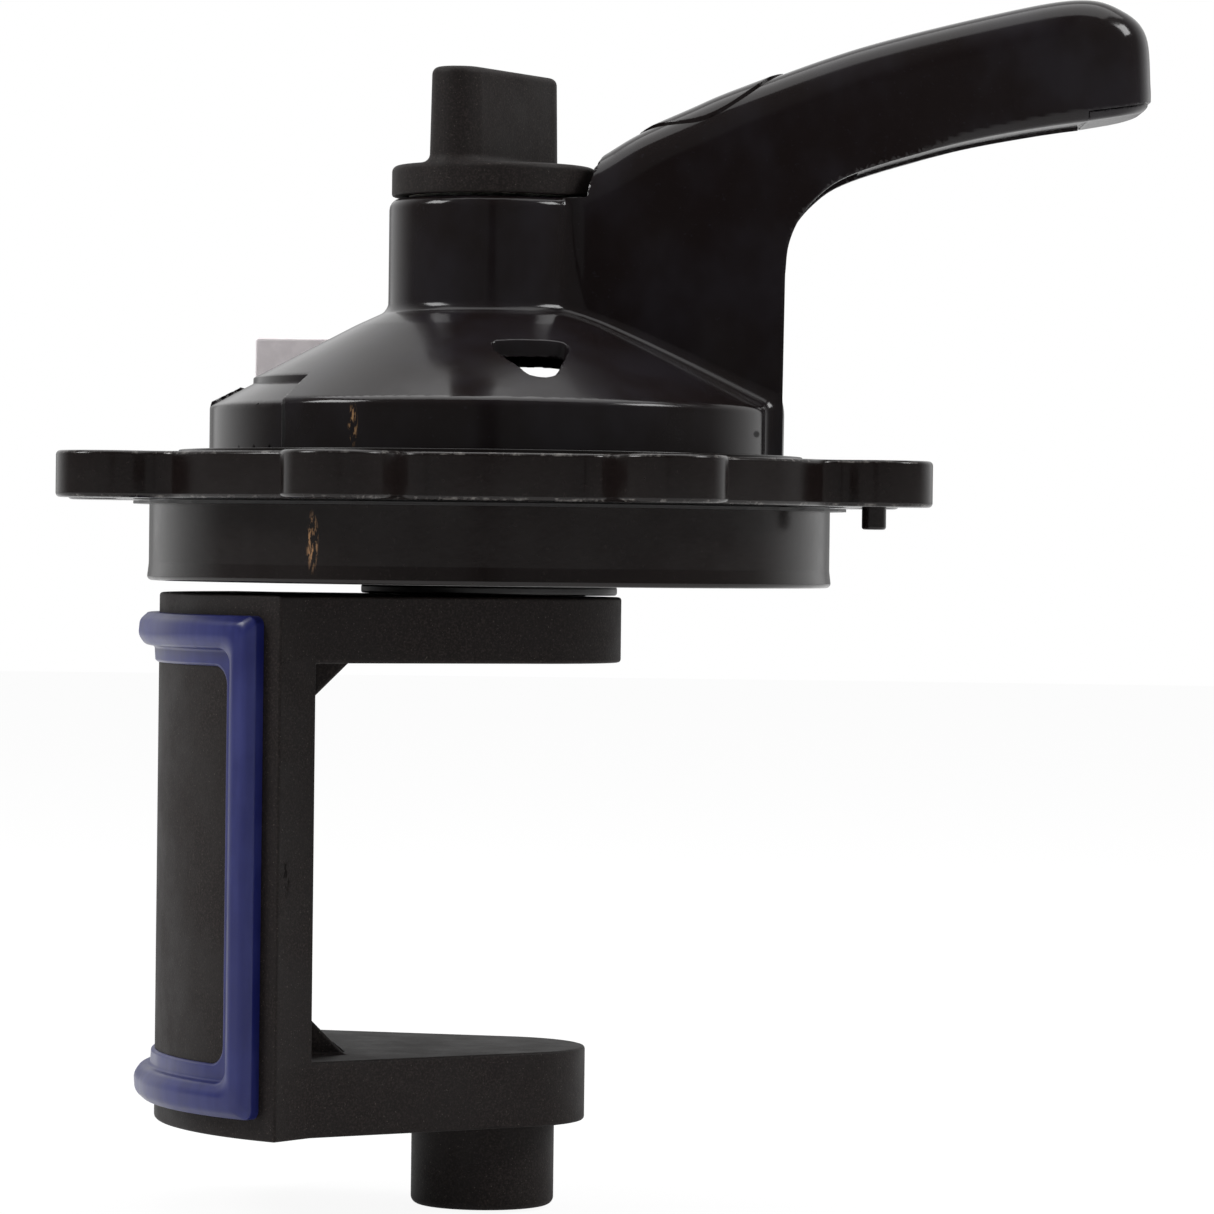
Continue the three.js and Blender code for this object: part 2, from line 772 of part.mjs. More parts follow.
function spline(points, count) {
  return new THREE.SplineCurve(points.map(([x, z]) => new THREE.Vector2(x, z)))
    .getPoints(count);
}

// Lever as a loft from its root to its tip. Each section spans the silhouette's top and its
// underside; the top corners are crowned and the tip narrows.
function leverLoft(halfWidth, crown) {
  const steps = 22;
  const top = spline(raised(leverTop), steps);
  const underside = spline(raised(leverUnderside).reverse(), steps);
  const rings = top.map((crest, step) => {
    const root = underside[step];
    const towardTip = Math.max(0, (crest.x - leverTipStart) / (leverTipX - leverTipStart));
    const half = halfWidth - leverTipNarrowing * (1 - Math.sqrt(1 - towardTip ** 2));
    const height = crest.distanceTo(root);
    const section = rounded([
      [half, 0, webEdge], [half, height, crown], [-half, height, crown], [-half, 0, webEdge],
    ], (90 * degree) / crownSteps);
    const up = crest.clone().sub(root).normalize();
    return section.map((point) => new THREE.Vector3(
      root.x + up.x * point.y, point.x, root.y + up.y * point.y));
  });
  return loft(rings);
}

// The underside of the grip from the tip to its root, raised by height.
function partingLine(height) {
  return spline(raised(leverUnderside, height), 28)
    .filter(({ x }) => x > gripStart).map(({ x, y }) => [x, y]);
}

// Everything below the parting line of the grip.
function belowParting(halfWidth) {
  const line = partingLine(gripDepth);
  const [, tipZ] = line[0];
  const [rootX, rootZ] = line.at(-1);
  const beyond = leverTipX + overrun;
  const below = rootZ - 2 * gripDepth;
  return slab(shapeOf([[rootX, below], [beyond, below], [beyond, tipZ], ...line]), halfWidth);
}

// Hollow of the grip in side view, open toward its cover.
function gripHollow() {
  const inside = ({ x }) => x > gripStart + 2 * leverWall && x < leverTipX - 4 * leverWall;
  return shapeOf([
    ...spline(raised(leverUnderside), 16).filter(inside),
    ...spline(raised(leverTop, -gripRoof), 16).filter(inside),
  ]);
}

function webShape() {
  const [rootX, rootZ] = raised(leverUnderside).at(-1);
  return shapeOf([
    [neckRadius / 2, skirtBottom], [webOuter - webDraft, skirtBottom],
    [rootX, rootZ], [rootX, webRootZ - coreEdge], [webShoulderX, webShoulderZ],
    [neckRadius - neckWall, webRootZ],
  ]);
}

// Hollow of the web in side view, open below.
function webHollow() {
  const inner = neckRadius + leverWall;
  const outer = webOuter - leverWall;
  return shapeOf(rounded([
    [inner, plateTop], [outer, plateTop], [outer, webRootZ - leverWall, coreEdge],
    [webShoulderX, webShoulderZ, coreEdge], [inner, webRootZ - 2 * leverWall, coreEdge],
  ]));
}

function makeHandle() {
  const core = webHalfWidth - leverWall;
  const lever = cut(leverLoft(webHalfWidth, leverCrown), belowParting(webHalfWidth + overrun),
    slab(gripHollow(), core));
  const web = cut(slab(webShape(), webHalfWidth, webEdge, 2), domeHollow());
  const solid = join(makeDome(), lever, web);
  const windows = [windowAzimuth, -windowAzimuth].map(domeWindow);
  const knobSeat = disc(knobFlangeRadius + 3 * turningGap, neckTop, neckTop + wingHeight, 48);
  const bore = disc(studRadius + 2 * gap, plateTop, neckTop + overrun);
  return join(cut(solid, knobSeat, bore, slab(webHollow(), core), ...windows, pointerRecess()),
    ...driveLegs());
}

// Cover that closes the grip from below, set in from its sides and its tip.
function makeGripCover() {
  const halfWidth = webHalfWidth - gripInset;
  const line = partingLine(gripDepth - gap);
  const tipX = line[0][0] - gripInset;
  const [rootX, rootZ] = line.at(-1);
  const startX = rootX + gap;
  const below = rootZ - 2 * gripDepth;
  const kept = line.filter(([x]) => x < tipX && x > startX);
  const band = slab(shapeOf([
    [startX, below], [tipX, below], [tipX, kept[0][1]], ...kept, [startX, rootZ],
  ]), halfWidth + overrun);
  return leverLoft(halfWidth, leverCrown).intersect(band);
}

// ---------------------------------------------------------------- knob

function makeKnob() {
  const flangeTop = knobBottom + knobFlangeHeight;
  const flange = revolve([
    [0, knobBottom], [knobFlangeRadius, knobBottom], [knobFlangeRadius, flangeTop, knobEdge],
    [0, flangeTop],
  ]);
  const half = wingThickness / 2;
  const reach = wingLength / 2 - half;
  const wingShape = shapeOf([...arc(half, -90, 90, 8, reach), ...arc(half, 90, 270, 8, -reach)]);
  const wing = solidOf(plate(wingShape, flangeTop - wingSunk, flangeTop + wingHeight, wingEdge));
  // The washer and the head of the stud sit in pockets under the flange.
  const pocketTop = knobBottom + washerThickness + gap;
  const washerPocket = disc(washerRadius + gap, knobBottom - overrun, pocketTop);
  const headPocket = disc(studHeadRadius + gap, knobBottom - overrun,
    pocketTop + studHeadHeight + 2 * gap, 6);
  return cut(join(flange, wing.rotate([0, 0, wingYaw])), washerPocket, headPocket);
}

function makeStud() {
  const headBottom = knobBottom + washerThickness + 2 * gap;
  const head = disc(studHeadRadius, headBottom, headBottom + studHeadHeight, 6);
  const shank = revolve([
    [0, shaftTop - studThreadDepth], [studRadius, shaftTop - studThreadDepth, studEdge],
    [studRadius, headBottom + overrun], [0, headBottom + overrun],
  ], 24);
  return join(head, shank);
}

function makeKnobWasher() {
  return tube(washerRadius, studRadius + gap, knobBottom, knobBottom + washerThickness);
}

// ---------------------------------------------------------------- assembly

const glossBlack = plastic(0x0b0b0d, 0.18);
const satinBlack = plastic(0x101011, 0.35);
const mattBlack = plastic(0x1a1918, 0.75);
const sealBlue = plastic(0x23318f, 0.45);
const softBlack = plastic(0x0d0d0d, 0.6);
const bearingWhite = plastic(0xd9d6cc, 0.4);
const tabGrey = plastic(0xb6b0b2, 0.6);
const brass = metal(0xb08d4a, 0.35);
const steel = metal(0xa8a9ab, 0.3);

const [oRingLow, oRingHigh] = oRingHeights();

const lid = new THREE.Group();
lid.add(
  meshOf('lid_plate', makeLid(), satinBlack),
  meshOf('lid_gasket', makeGasket(), softBlack),
  meshOf('shaft_bushing', makeBushing(), bearingWhite),
  meshOf('position_tab', makeTab(), tabGrey),
);

const valve = new THREE.Group();
valve.add(
  meshOf('diverter', makeDiverter(), mattBlack),
  meshOf('port_seal', makeSeal().rotate([0, 0, gateYaw]), sealBlue),
  meshOf('thrust_washer', makeThrustWasher(), softBlack),
  meshOf('shaft_o_ring_lower', makeORing(oRingLow), softBlack),
  meshOf('shaft_o_ring_upper', makeORing(oRingHigh), softBlack),
  meshOf('retaining_ring', makeRetainingRing(), steel),
  meshOf('threaded_insert', makeInsert(), brass),
  meshOf('handle', makeHandle(), glossBlack),
  meshOf('grip_underside_cover', makeGripCover(), glossBlack),
);

const lock = new THREE.Group();
lock.add(
  meshOf('knob', makeKnob(), mattBlack),
  meshOf('knob_washer', makeKnobWasher(), bearingWhite),
  meshOf('knob_stud', makeStud(), steel),
);

const valveHead = new THREE.Group();
valveHead.add(lid, valve, lock);

export default valveHead;
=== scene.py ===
import json
from math import acos, atan2, ceil, cos, degrees, hypot, pi, radians, sin, sqrt, tan

import bmesh
import bpy
import numpy as np
from mathutils import Matrix, Vector, geometry


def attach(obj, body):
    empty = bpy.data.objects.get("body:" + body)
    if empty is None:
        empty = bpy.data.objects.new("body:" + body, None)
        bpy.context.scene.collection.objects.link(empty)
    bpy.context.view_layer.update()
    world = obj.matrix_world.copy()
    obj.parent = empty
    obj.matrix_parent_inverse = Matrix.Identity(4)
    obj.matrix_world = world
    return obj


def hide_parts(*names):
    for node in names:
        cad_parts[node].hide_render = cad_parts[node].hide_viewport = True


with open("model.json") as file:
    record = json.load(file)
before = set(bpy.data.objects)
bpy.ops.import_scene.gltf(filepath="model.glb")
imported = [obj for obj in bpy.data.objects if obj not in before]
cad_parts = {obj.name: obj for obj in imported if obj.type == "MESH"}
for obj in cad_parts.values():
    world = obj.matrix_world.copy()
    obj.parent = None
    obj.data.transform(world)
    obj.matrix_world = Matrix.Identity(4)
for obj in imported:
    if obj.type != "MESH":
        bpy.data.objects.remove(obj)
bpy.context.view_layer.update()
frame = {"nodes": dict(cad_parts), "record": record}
mm = 0.001
print("frame loaded")

# Camera, light and floor.

# Lengths in mm, angles in degrees. The eye stands in front of the turning axis, a little above
# the middle of the object, and looks along +Y.
view = {
    "eye": (20.7, -1000.0, 116.6),
    "aim": (20.86, 0.0, 105.66),
    "roll": 0.7,
    "frameWidth": 214.5,
    "sensor": 36,
    "clip": (0.05, 30),
}


def stand(name, data):
    thing = bpy.data.objects.new(name, data)
    bpy.context.scene.collection.objects.link(thing)
    return thing


def looking(at, aim):
    return Matrix.Translation(at) @ (aim - at).to_track_quat("-Z", "Y").to_matrix().to_4x4()


def placeCamera(s):
    eye, aim = Vector(s["eye"]) * mm, Vector(s["aim"]) * mm
    data = bpy.data.cameras.new("camera")
    data.sensor_fit = "HORIZONTAL"
    data.sensor_width = s["sensor"]
    data.lens = s["sensor"] * (aim - eye).length / (s["frameWidth"] * mm)
    data.clip_start, data.clip_end = s["clip"]
    camera = stand("camera", data)
    camera.matrix_world = looking(eye, aim) @ Matrix.Rotation(radians(s["roll"]), 4, "Z")
    bpy.context.scene.camera = camera


# Place, aim and size in metres, power in watts.
lamps = {
    "overhead": {"at": (0.05, 0.15, 1.15), "aim": (0.02, 0, 0.12), "size": (1.3, 0.9), "power": 8},
    "left": {"at": (-1.0, -0.3, 0.95), "aim": (0, 0, 0.1), "size": (0.45, 0.45), "power": 9},
    "right": {"at": (0.98, -0.22, 0.98), "aim": (0, 0, 0.12), "size": (0.4, 0.4), "power": 7},
}


def placeLamps(table):
    for name, s in table.items():
        data = bpy.data.lights.new(name, "AREA")
        data.shape = "RECTANGLE"
        data.size, data.size_y = s["size"]
        data.energy = s["power"]
        stand(name, data).matrix_world = looking(Vector(s["at"]), Vector(s["aim"]))


class Nodes:
    def __init__(self, tree):
        self.tree = tree
        tree.nodes.clear()

    def add(self, kind, **values):
        node = self.tree.nodes.new(kind)
        for key, value in values.items():
            if hasattr(node, key) and key not in node.inputs:
                setattr(node, key, value)
            else:
                self.feed(node.inputs[key], value)
        return node

    def out(self, kind, **values):
        return self.add(kind, **values).outputs[0]

    def feed(self, socket, value):
        if isinstance(value, bpy.types.NodeSocket):
            self.tree.links.new(value, socket)
        else:
            socket.default_value = value

    def feedAll(self, sockets, values):
        for socket, value in zip(sockets, values):
            self.feed(socket, value)

    def math(self, operation, *values):
        node = self.add("ShaderNodeMath", operation=operation)
        self.feedAll(node.inputs, values)
        return node.outputs[0]

    def plus(self, first, second):
        return self.math("ADD", first, second)

    def times(self, first, second):
        return self.math("MULTIPLY", first, second)

    def over(self, first, second):
        return self.math("DIVIDE", first, second)

    def larger(self, first, second):
        return self.math("MAXIMUM", first, second)

    def ramp(self, value, low, high, first=0.0, last=1.0):
        node = self.add("ShaderNodeMapRange", interpolation_type="SMOOTHSTEP")
        self.feedAll(node.inputs, (value, low, high, first, last))
        return node.outputs[0]

    def mix(self, share, first, second):
        node = self.add("ShaderNodeMix", data_type="RGBA", Factor=share)
        self.feedAll([socket for socket in node.inputs if socket.type == "RGBA"], (first, second))
        return [socket for socket in node.outputs if socket.type == "RGBA"][0]


# Strengths of the room's light, as surfaces get it and as they mirror it, and the ranges of the
# direction's parts over which one passes into the next.
studio = {
    "frontLight": 0.25,
    "backLight": 0.8,
    "sides": (-0.55, 0.6),
    "frontMirror": 0.22,
    "cameraSlot": 0.03,
    "slotWidth": (0.04, 0.1),
    "slotEnd": (-0.5, 0.0),
    "backdrop": (-0.1, 0.75),
    "lowBackdrop": 0.3,
    "lowHeight": (0.04, 0.3),
    "lowWidth": (0.3, 0.5),
    "ceiling": 0.8,
    "ceilingHeight": (0.5, 0.85),
    "floorWhite": 0.9,
    "floorMirror": 0.3,
    "floorGlow": 1.03,
    "floorColour": (0.86, 0.86, 0.86, 1),
    "floorRadius": 4.0,
    "floorDrop": 0.0005,
}


def rayKinds(n):
    rays = n.add("ShaderNodeLightPath").outputs
    return n.larger(rays["Is Camera Ray"], rays["Is Transmission Ray"]), rays["Is Glossy Ray"]


def makeWorld(s):
    world = bpy.data.worlds.new("studio")
    world.use_nodes = True
    bpy.context.scene.world = world
    n = Nodes(world.node_tree)
    seen, glossy = rayKinds(n)
    place = n.add("ShaderNodeTexCoord").outputs["Generated"]
    x, y, z = n.add("ShaderNodeSeparateXYZ", Vector=place).outputs
    aside = n.math("ABSOLUTE", x)
    # The room is dim on the camera's side, with a dark slot straight ahead of the object, and
    # white behind it.
    behind = n.ramp(y, *s["sides"], s["frontLight"], s["backLight"])
    slot = n.larger(n.ramp(aside, *s["slotWidth"]), n.ramp(y, *s["slotEnd"]))
    front = n.math("MULTIPLY_ADD", slot, s["frontMirror"] - s["cameraSlot"], s["cameraSlot"])
    low = n.larger(n.ramp(z, *s["lowHeight"], s["lowBackdrop"], 1), n.ramp(aside, *s["lowWidth"]))
    above = n.ramp(z, *s["ceilingHeight"], 1, s["ceiling"])
    mirrored = n.larger(front, n.times(n.ramp(y, *s["backdrop"]), n.times(low, above)))
    unseen = n.plus(n.times(glossy, mirrored), n.times(n.math("SUBTRACT", 1.0, glossy), behind))
    light = n.out("ShaderNodeBackground", Color=(1, 1, 1, 1), Strength=n.larger(seen, unseen))
    n.add("ShaderNodeOutputWorld", Surface=light)


def makeFloor(s):
    bm = bmesh.new()
    bmesh.ops.create_circle(bm, cap_ends=True, segments=96, radius=s["floorRadius"])
    mesh = bpy.data.meshes.new("floor")
    bm.to_mesh(mesh)
    bm.free()
    floor = stand("floor", mesh)
    floor.location.z = -s["floorDrop"]
    material = bpy.data.materials.new("paleFloor")
    material.use_nodes = True
    n = Nodes(material.node_tree)
    seen, glossy = rayKinds(n)
    share = n.times(n.larger(seen, n.times(glossy, s["floorMirror"])), s["floorWhite"])
    diffuse = n.out("ShaderNodeBsdfDiffuse", Color=s["floorColour"])
    glow = n.out("ShaderNodeEmission", Strength=s["floorGlow"])
    mixed = n.add("ShaderNodeMixShader")
    n.feedAll(mixed.inputs, (share, diffuse, glow))
    n.add("ShaderNodeOutputMaterial", Surface=mixed.outputs[0])
    mesh.materials.append(material)


placeCamera(view)
placeLamps(lamps)
makeWorld(studio)
makeFloor(studio)
bpy.context.scene.view_settings.view_transform = "Standard"
print("camera, lamps and floor placed")

# Finishes. A noise is given as its scale, detail, roughness and stretch, as far as these are
# needed, and a bump as its strength and its height in metres.

def colour(red, green, blue):
    # 0 to 255 as seen on a screen, to Blender's linear values.
    def linear(value):
        value = value / 255
        return value / 12.92 if value <= 0.04045 else ((value + 0.055) / 1.055) ** 2.4
    return (linear(red), linear(green), linear(blue), 1)


class Finish(Nodes):
    def __init__(self, s):
        self.material = bpy.data.materials.new(s["name"])
        self.material.use_nodes = True
        super().__init__(self.material.node_tree)
        self.place = self.add("ShaderNodeTexCoord").outputs["Object"]
        self.shader = self.add("ShaderNodeBsdfPrincipled")
        self.add("ShaderNodeOutputMaterial", Surface=self.shader.outputs[0])

    def noise(self, scale, detail=3.0, roughness=0.5, stretch=(1, 1, 1)):
        place = self.out("ShaderNodeMapping", Vector=self.place, Scale=stretch)
        return self.out("ShaderNodeTexNoise", Vector=place, Scale=scale, Detail=detail,
                        Roughness=roughness)

    def patch(self, centre, size, softness=0.6):
        # 1 inside an ellipsoid round centre (mm), fading out at its edge.
        place = self.out("ShaderNodeMapping", Vector=self.place, vector_type="TEXTURE",
                         Location=[value * mm for value in centre],
                         Scale=[value * mm for value in size])
        length = self.add("ShaderNodeVectorMath", operation="LENGTH")
        self.feed(length.inputs[0], place)
        return self.ramp(length.outputs["Value"], 1 - softness, 1.0, 1.0, 0.0)

    def done(self, s, base, rough, height):
        # Marks are patches of colour, streaked where their grain is set and even where it is 0: a
        # centre and size in mm, a colour and the grain. Some are scuffs; the even near-black ones
        # are painted shade.
        for centre, size, paint, grain in s.get("marks", ()):
            share = self.patch(centre, size)
            if grain:
                share = self.times(share, self.ramp(self.noise(grain, *markStreaks), 0.5, 0.58))
            base = self.mix(share, base, paint)
            rough = self.plus(rough, self.times(share, markRoughness))
        strength, distance = s["bump"]
        bump = self.out("ShaderNodeBump", Height=height, Strength=strength, Distance=distance)
        values = {"Base Color": base, "Roughness": rough, "Normal": bump}
        if "specular" in s:
            values["Specular IOR Level"] = s["specular"]
        if "metal" in s:
            values["Metallic"] = s["metal"]
        for name, value in values.items():
            self.feed(self.shader.inputs[name], value)
        return self.material


markStreaks = (4, 0.7, (1, 1, 0.3))
markRoughness = 0.4

glossBlack = {
    "name": "glossBlackPlastic",
    "deep": colour(23, 18, 18),
    "pale": colour(31, 28, 31),
    "specular": 0.24,
    "roughness": (0.1, 0.2),
    "cloud": (45, 4),
    "mottle": (60, 3, 0.6, (1, 1, 0.7)),
    "fine": (1400, 2),
    "waves": (160, 2),
    "bump": (0.02, 0.0004),
    "marks": [
        ((-22.4, -45.2, 136.3), (1.0, 3.0, 4.4), colour(160, 122, 82), 1500),
        # Painted shade: a near-black patch on the skirt stands in for the shade inside a small
        # dimple.
        ((46.3, -19.9, 136.1), (1.1, 2.5, 0.8), colour(7, 6, 6), 0),
        # Painted shade: a thin near-black streak on the skirt stands in for the shadow of the
        # pointer recess's wall.
        ((-34.5, -36.6, 136.6), (0.45, 1.6, 5.6), colour(6, 5, 5), 0),
    ],
}


def makeGlossBlack(s):
    n = Finish(s)
    mottle = n.larger(n.ramp(n.noise(*s["mottle"]), 0.38, 0.68),
                      n.ramp(n.noise(*s["fine"]), 0.62, 0.8))
    haze = n.ramp(n.noise(*s["cloud"]), 0.35, 0.7, *s["roughness"])
    return n.done(s, n.mix(mottle, s["deep"], s["pale"]), haze, n.noise(*s["waves"]))


satinBlack = {
    "name": "satinBlackPlastic",
    "deep": colour(20, 15, 14),
    "pale": colour(31, 26, 25),
    "worn": colour(150, 146, 142),
    "wear": 0.35,
    "specular": 0.3,
    "roughness": (0.16, 0.26),
    "cloud": (70, 5, 0.6),
    "fine": (1800, 2),
    "rubs": (520, 4, 0.65),
    "grain": (900, 3),
    "bump": (0.04, 0.0003),
    "marks": [((-28.6, -52.9, 116.6), (1.25, 3.0, 5.8), colour(150, 112, 76), 1500)],
}


def makeSatinBlack(s):
    n = Finish(s)
    base = n.mix(n.ramp(n.noise(*s["fine"]), 0.6, 0.78), s["deep"], s["pale"])
    # The edge attribute is 1 on the rounded rims, where handling has rubbed them pale.
    edge = n.add("ShaderNodeAttribute", attribute_name="edge").outputs["Fac"]
    rub = n.times(n.ramp(edge, 0.6, 0.95), n.ramp(n.noise(*s["rubs"]), 0.5, 0.7))
    base = n.mix(n.times(rub, s["wear"]), base, s["worn"])
    haze = n.ramp(n.noise(*s["cloud"]), 0.3, 0.7, *s["roughness"])
    return n.done(s, base, haze, n.noise(*s["grain"]))


mattBlack = {
    "name": "mattBlackGlassFilled",
    "deep": colour(19, 14, 13),
    "pale": colour(45, 38, 36),
    "speck": colour(98, 90, 84),
    "speckle": 0.55,
    "specular": 0.2,
    "roughness": (0.55, 0.72),
    "cloud": (60, 5, 0.65),
    "grain": (2600, 3, 0.6),
    "specks": (3400, 2, 0.5),
    "bump": (0.18, 0.0002),
    "marks": [
        ((-32.9, -45.3, 60.0), (1.2, 2.5, 4.6), colour(14, 10, 9), 1200),
        ((-57.2, -9.0, 95.9), (1.6, 3.8, 0.5), colour(190, 180, 165), 700),
    ],
}


def makeMattBlack(s):
    n = Finish(s)
    cloud, grain = n.noise(*s["cloud"]), n.noise(*s["grain"])
    mottle = n.times(n.ramp(grain, 0.4, 0.75), n.ramp(cloud, 0.3, 0.7, 0.35, 1))
    speck = n.times(n.ramp(n.noise(*s["specks"]), 0.66, 0.76), s["speckle"])
    base = n.mix(speck, n.mix(mottle, s["deep"], s["pale"]), s["speck"])
    return n.done(s, base, n.ramp(cloud, 0.3, 0.7, *s["roughness"]), grain)


sealBlue = {
    "name": "blueElastomer",
    "deep": colour(22, 27, 84),
    "pale": colour(38, 43, 100),
    "specular": 0.35,
    "roughness": (0.3, 0.42),
    "cloud": (90, 4),
    "streak": (500, 3, 0.5, (1, 1, 0.12)),
    "bump": (0.05, 0.0003),
}


def makeSealBlue(s):
    n = Finish(s)
    cloud, streak = n.noise(*s["cloud"]), n.noise(*s["streak"])
    blend = n.math("MULTIPLY_ADD", streak, 0.4, n.times(cloud, 0.6))
    base = n.mix(n.ramp(blend, 0.35, 0.68), s["deep"], s["pale"])
    return n.done(s, base, n.ramp(cloud, 0.3, 0.7, *s["roughness"]), streak)


# One row for each plainer finish: its slot and name, two colours, the range of its roughness,
# the scale of its grain and whether it is metal.
plainFinishes = [
    ("soft_black", "softBlackRubber", (20, 18, 18), (30, 28, 28), (0.3, 0.45), 900, 0.0),
    ("bearing_white", "bearingWhite", (214, 210, 200), (226, 223, 215), (0.3, 0.42), 500, 0.0),
    ("tab_grey", "tabGrey", (230, 223, 225), (242, 235, 237), (0.45, 0.6), 300, 0.0),
    ("brass", "turnedBrass", (178, 140, 76), (205, 168, 100), (0.2, 0.36), 1200, 1.0),
    ("steel", "brushedSteel", (150, 151, 154), (186, 187, 189), (0.22, 0.38), 1400, 1.0),
]
plainCloud = (120, 3)
plainBump = (0.06, 0.0002)


def makePlainFinish(name, deep, pale, roughness, scale, metal):
    s = {"name": name, "metal": metal, "bump": plainBump}
    n = Finish(s)
    grain = n.noise(scale, 3, 0.55)
    base = n.mix(n.ramp(grain, 0.35, 0.7), colour(*deep), colour(*pale))
    return n.done(s, base, n.ramp(n.noise(*plainCloud), 0.3, 0.7, *roughness), grain)


finishes = {
    "gloss_black": makeGlossBlack(glossBlack),
    "satin_black": makeSatinBlack(satinBlack),
    "matt_black": makeMattBlack(mattBlack),
    "seal_blue": makeSealBlue(sealBlue),
}
for slotName, *values in plainFinishes:
    finishes[slotName] = makePlainFinish(*values)

# The CAD nodes that stay take the finish of their own material slot.
for part in frame["record"]["subparts"]:
    node = frame["nodes"][part["node"]]
    node.data.materials.clear()
    node.data.materials.append(finishes[part["material_slot"]])
print("finishes made")

# Shape helpers, all in mm.

def looseMesh(name, points, faces, edges=()):
    mesh = bpy.data.meshes.new(name)
    faces = faces.tolist() if isinstance(faces, np.ndarray) else faces
    mesh.from_pydata((np.asarray(points, float) * mm).tolist(), edges, faces)
    return stand(name, mesh)


def addPiece(name, points, faces, slotName, body, replaced=(), normals=None):
    piece = looseMesh(name, points, faces)
    piece.data.shade_smooth()
    if normals is not None:
        piece.data.normals_split_custom_set(normals.reshape(-1, 3).tolist())
    piece.data.materials.append(finishes[slotName])
    finishPiece(piece, body, replaced)
    return piece


def addSkin(name, field, low, high, step, slotName, body, replaced=()):
    points, faces, normals = skinOf(field, low, high, step)
    addPiece(name, points, faces, slotName, body, replaced, normals)


def finishPiece(piece, body, replaced=()):
    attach(piece, body)
    if replaced:
        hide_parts(*replaced)


def roundCorners(corners, step=8):
    # Outline with an arc at each corner that gives a radius: (x, y, radius). No arc takes up more
    # than 0.48 of a side.
    points = []
    for index, corner in enumerate(corners):
        here = np.array(corner[:2], float)
        if len(corner) < 3:
            points.append(here)
            continue
        back = np.array(corners[index - 1][:2]) - here
        ahead = np.array(corners[(index + 1) % len(corners)][:2]) - here
        longest = 0.48 * min(np.linalg.norm(back), np.linalg.norm(ahead))
        back /= np.linalg.norm(back)
        ahead /= np.linalg.norm(ahead)
        half = acos(np.clip(back @ ahead, -1, 1)) / 2
        reach = min(corner[2] / tan(half), longest)
        radius = reach * tan(half)
        middle = here + (back + ahead) / np.linalg.norm(back + ahead) * radius / sin(half)
        start, end = here + back * reach - middle, here + ahead * reach - middle
        first = atan2(start[1], start[0])
        sweep = atan2(end[1], end[0]) - first
        sweep = atan2(sin(sweep), cos(sweep))
        steps = max(1, ceil(abs(degrees(sweep)) / step))
        for angle in (first + sweep * part / steps for part in range(steps + 1)):
            points.append(middle + radius * np.array([cos(angle), sin(angle)]))
    return np.array(points)


def arc(radius, first, last, steps, centre=(0, 0)):
    angles = np.radians(np.linspace(first, last, steps + 1))
    return [(centre[0] + radius * cos(a), centre[1] + radius * sin(a)) for a in angles]


def spline(points, count):
    # Smooth line through the points.
    points = np.array(points)
    p = np.array([2 * points[0] - points[1], *points, 2 * points[-1] - points[-2]])
    line = []
    for index in range(1, len(p) - 2):
        a, b, c, d = p[index - 1:index + 3]
        for t in np.linspace(0, 1, count, endpoint=False):
            line.append(0.5 * (2 * b + (c - a) * t + (2 * a - 5 * b + 4 * c - d) * t ** 2
                               + (3 * b - a - 3 * c + d) * t ** 3))
    return np.array([*line, p[-2]])


# Signed distances: below zero inside. u, v and the results are numpy arrays of any matching shape.
def insideOutline(points, u, v):
    nearest = np.inf
    sign = 1.0
    for (au, av), (bu, bv) in zip(points, np.roll(points, -1, axis=0)):
        eu, ev = bu - au, bv - av
        long = eu * eu + ev * ev
        if long < 1e-12:
            continue
        wu, wv = u - au, v - av
        t = np.clip((wu * eu + wv * ev) / long, 0, 1)
        nearest = np.minimum(nearest, (wu - eu * t) ** 2 + (wv - ev * t) ** 2)
        above, below, left = v >= av, v < bv, eu * wv > ev * wu
        sign = np.where((above & below & left) | (~above & ~below & ~left), -sign, sign)
    return sign * np.sqrt(nearest)


def roundMeet(a, b, radius):
    # Both at once, the edge between them rounded.
    inner = np.minimum(np.maximum(a, b), -radius)
    return inner + np.hypot(np.maximum(a + radius, 0), np.maximum(b + radius, 0))


def roundJoin(a, b, radius):
    # Either one, the corner between them filled with a fillet.
    return -roundMeet(-a, -b, radius)


def carve(body, tool, radius=0.3):
    return roundMeet(body, -tool, radius)


def alongAcross(x, y, azimuth):
    turn = radians(azimuth)
    return x * cos(turn) + y * sin(turn), y * cos(turn) - x * sin(turn)


def highest(*fields):
    return fields[0] if len(fields) == 1 else np.maximum(fields[0], highest(*fields[1:]))


def tabled(points, cell=0.15, margin=6.0):
    # The distance to an outline, looked up in a table: quick for millions of places.
    low = points.min(0) - margin
    count = np.ceil((np.ptp(points, axis=0) + 2 * margin) / cell).astype(int) + 1
    table = insideOutline(points, low[0] + cell * np.arange(count[0])[:, None],
                          low[1] + cell * np.arange(count[1])[None, :]).astype(np.float32)

    def distance(u, v):
        gu, gv = (u - low[0]) / cell, (v - low[1]) / cell
        cu, cv = np.clip(gu, 0, count[0] - 1.001), np.clip(gv, 0, count[1] - 1.001)
        i, j = cu.astype(int), cv.astype(int)
        fu, fv = cu - i, cv - j
        near = (table[i, j] * (1 - fu) + table[i + 1, j] * fu) * (1 - fv)
        near = near + (table[i, j + 1] * (1 - fu) + table[i + 1, j + 1] * fu) * fv
        return near + np.hypot(gu - cu, gv - cv) * cell

    return distance


def fieldSlope(field, points, reach=0.02):
    def at(shift):
        return field(*(points + shift).T)
    return np.stack([(at(s) - at(-s)) / (2 * reach) for s in np.eye(3) * reach], axis=1)


def unit(vectors):
    return vectors / np.maximum(np.linalg.norm(vectors, axis=-1), 1e-9)[..., None]


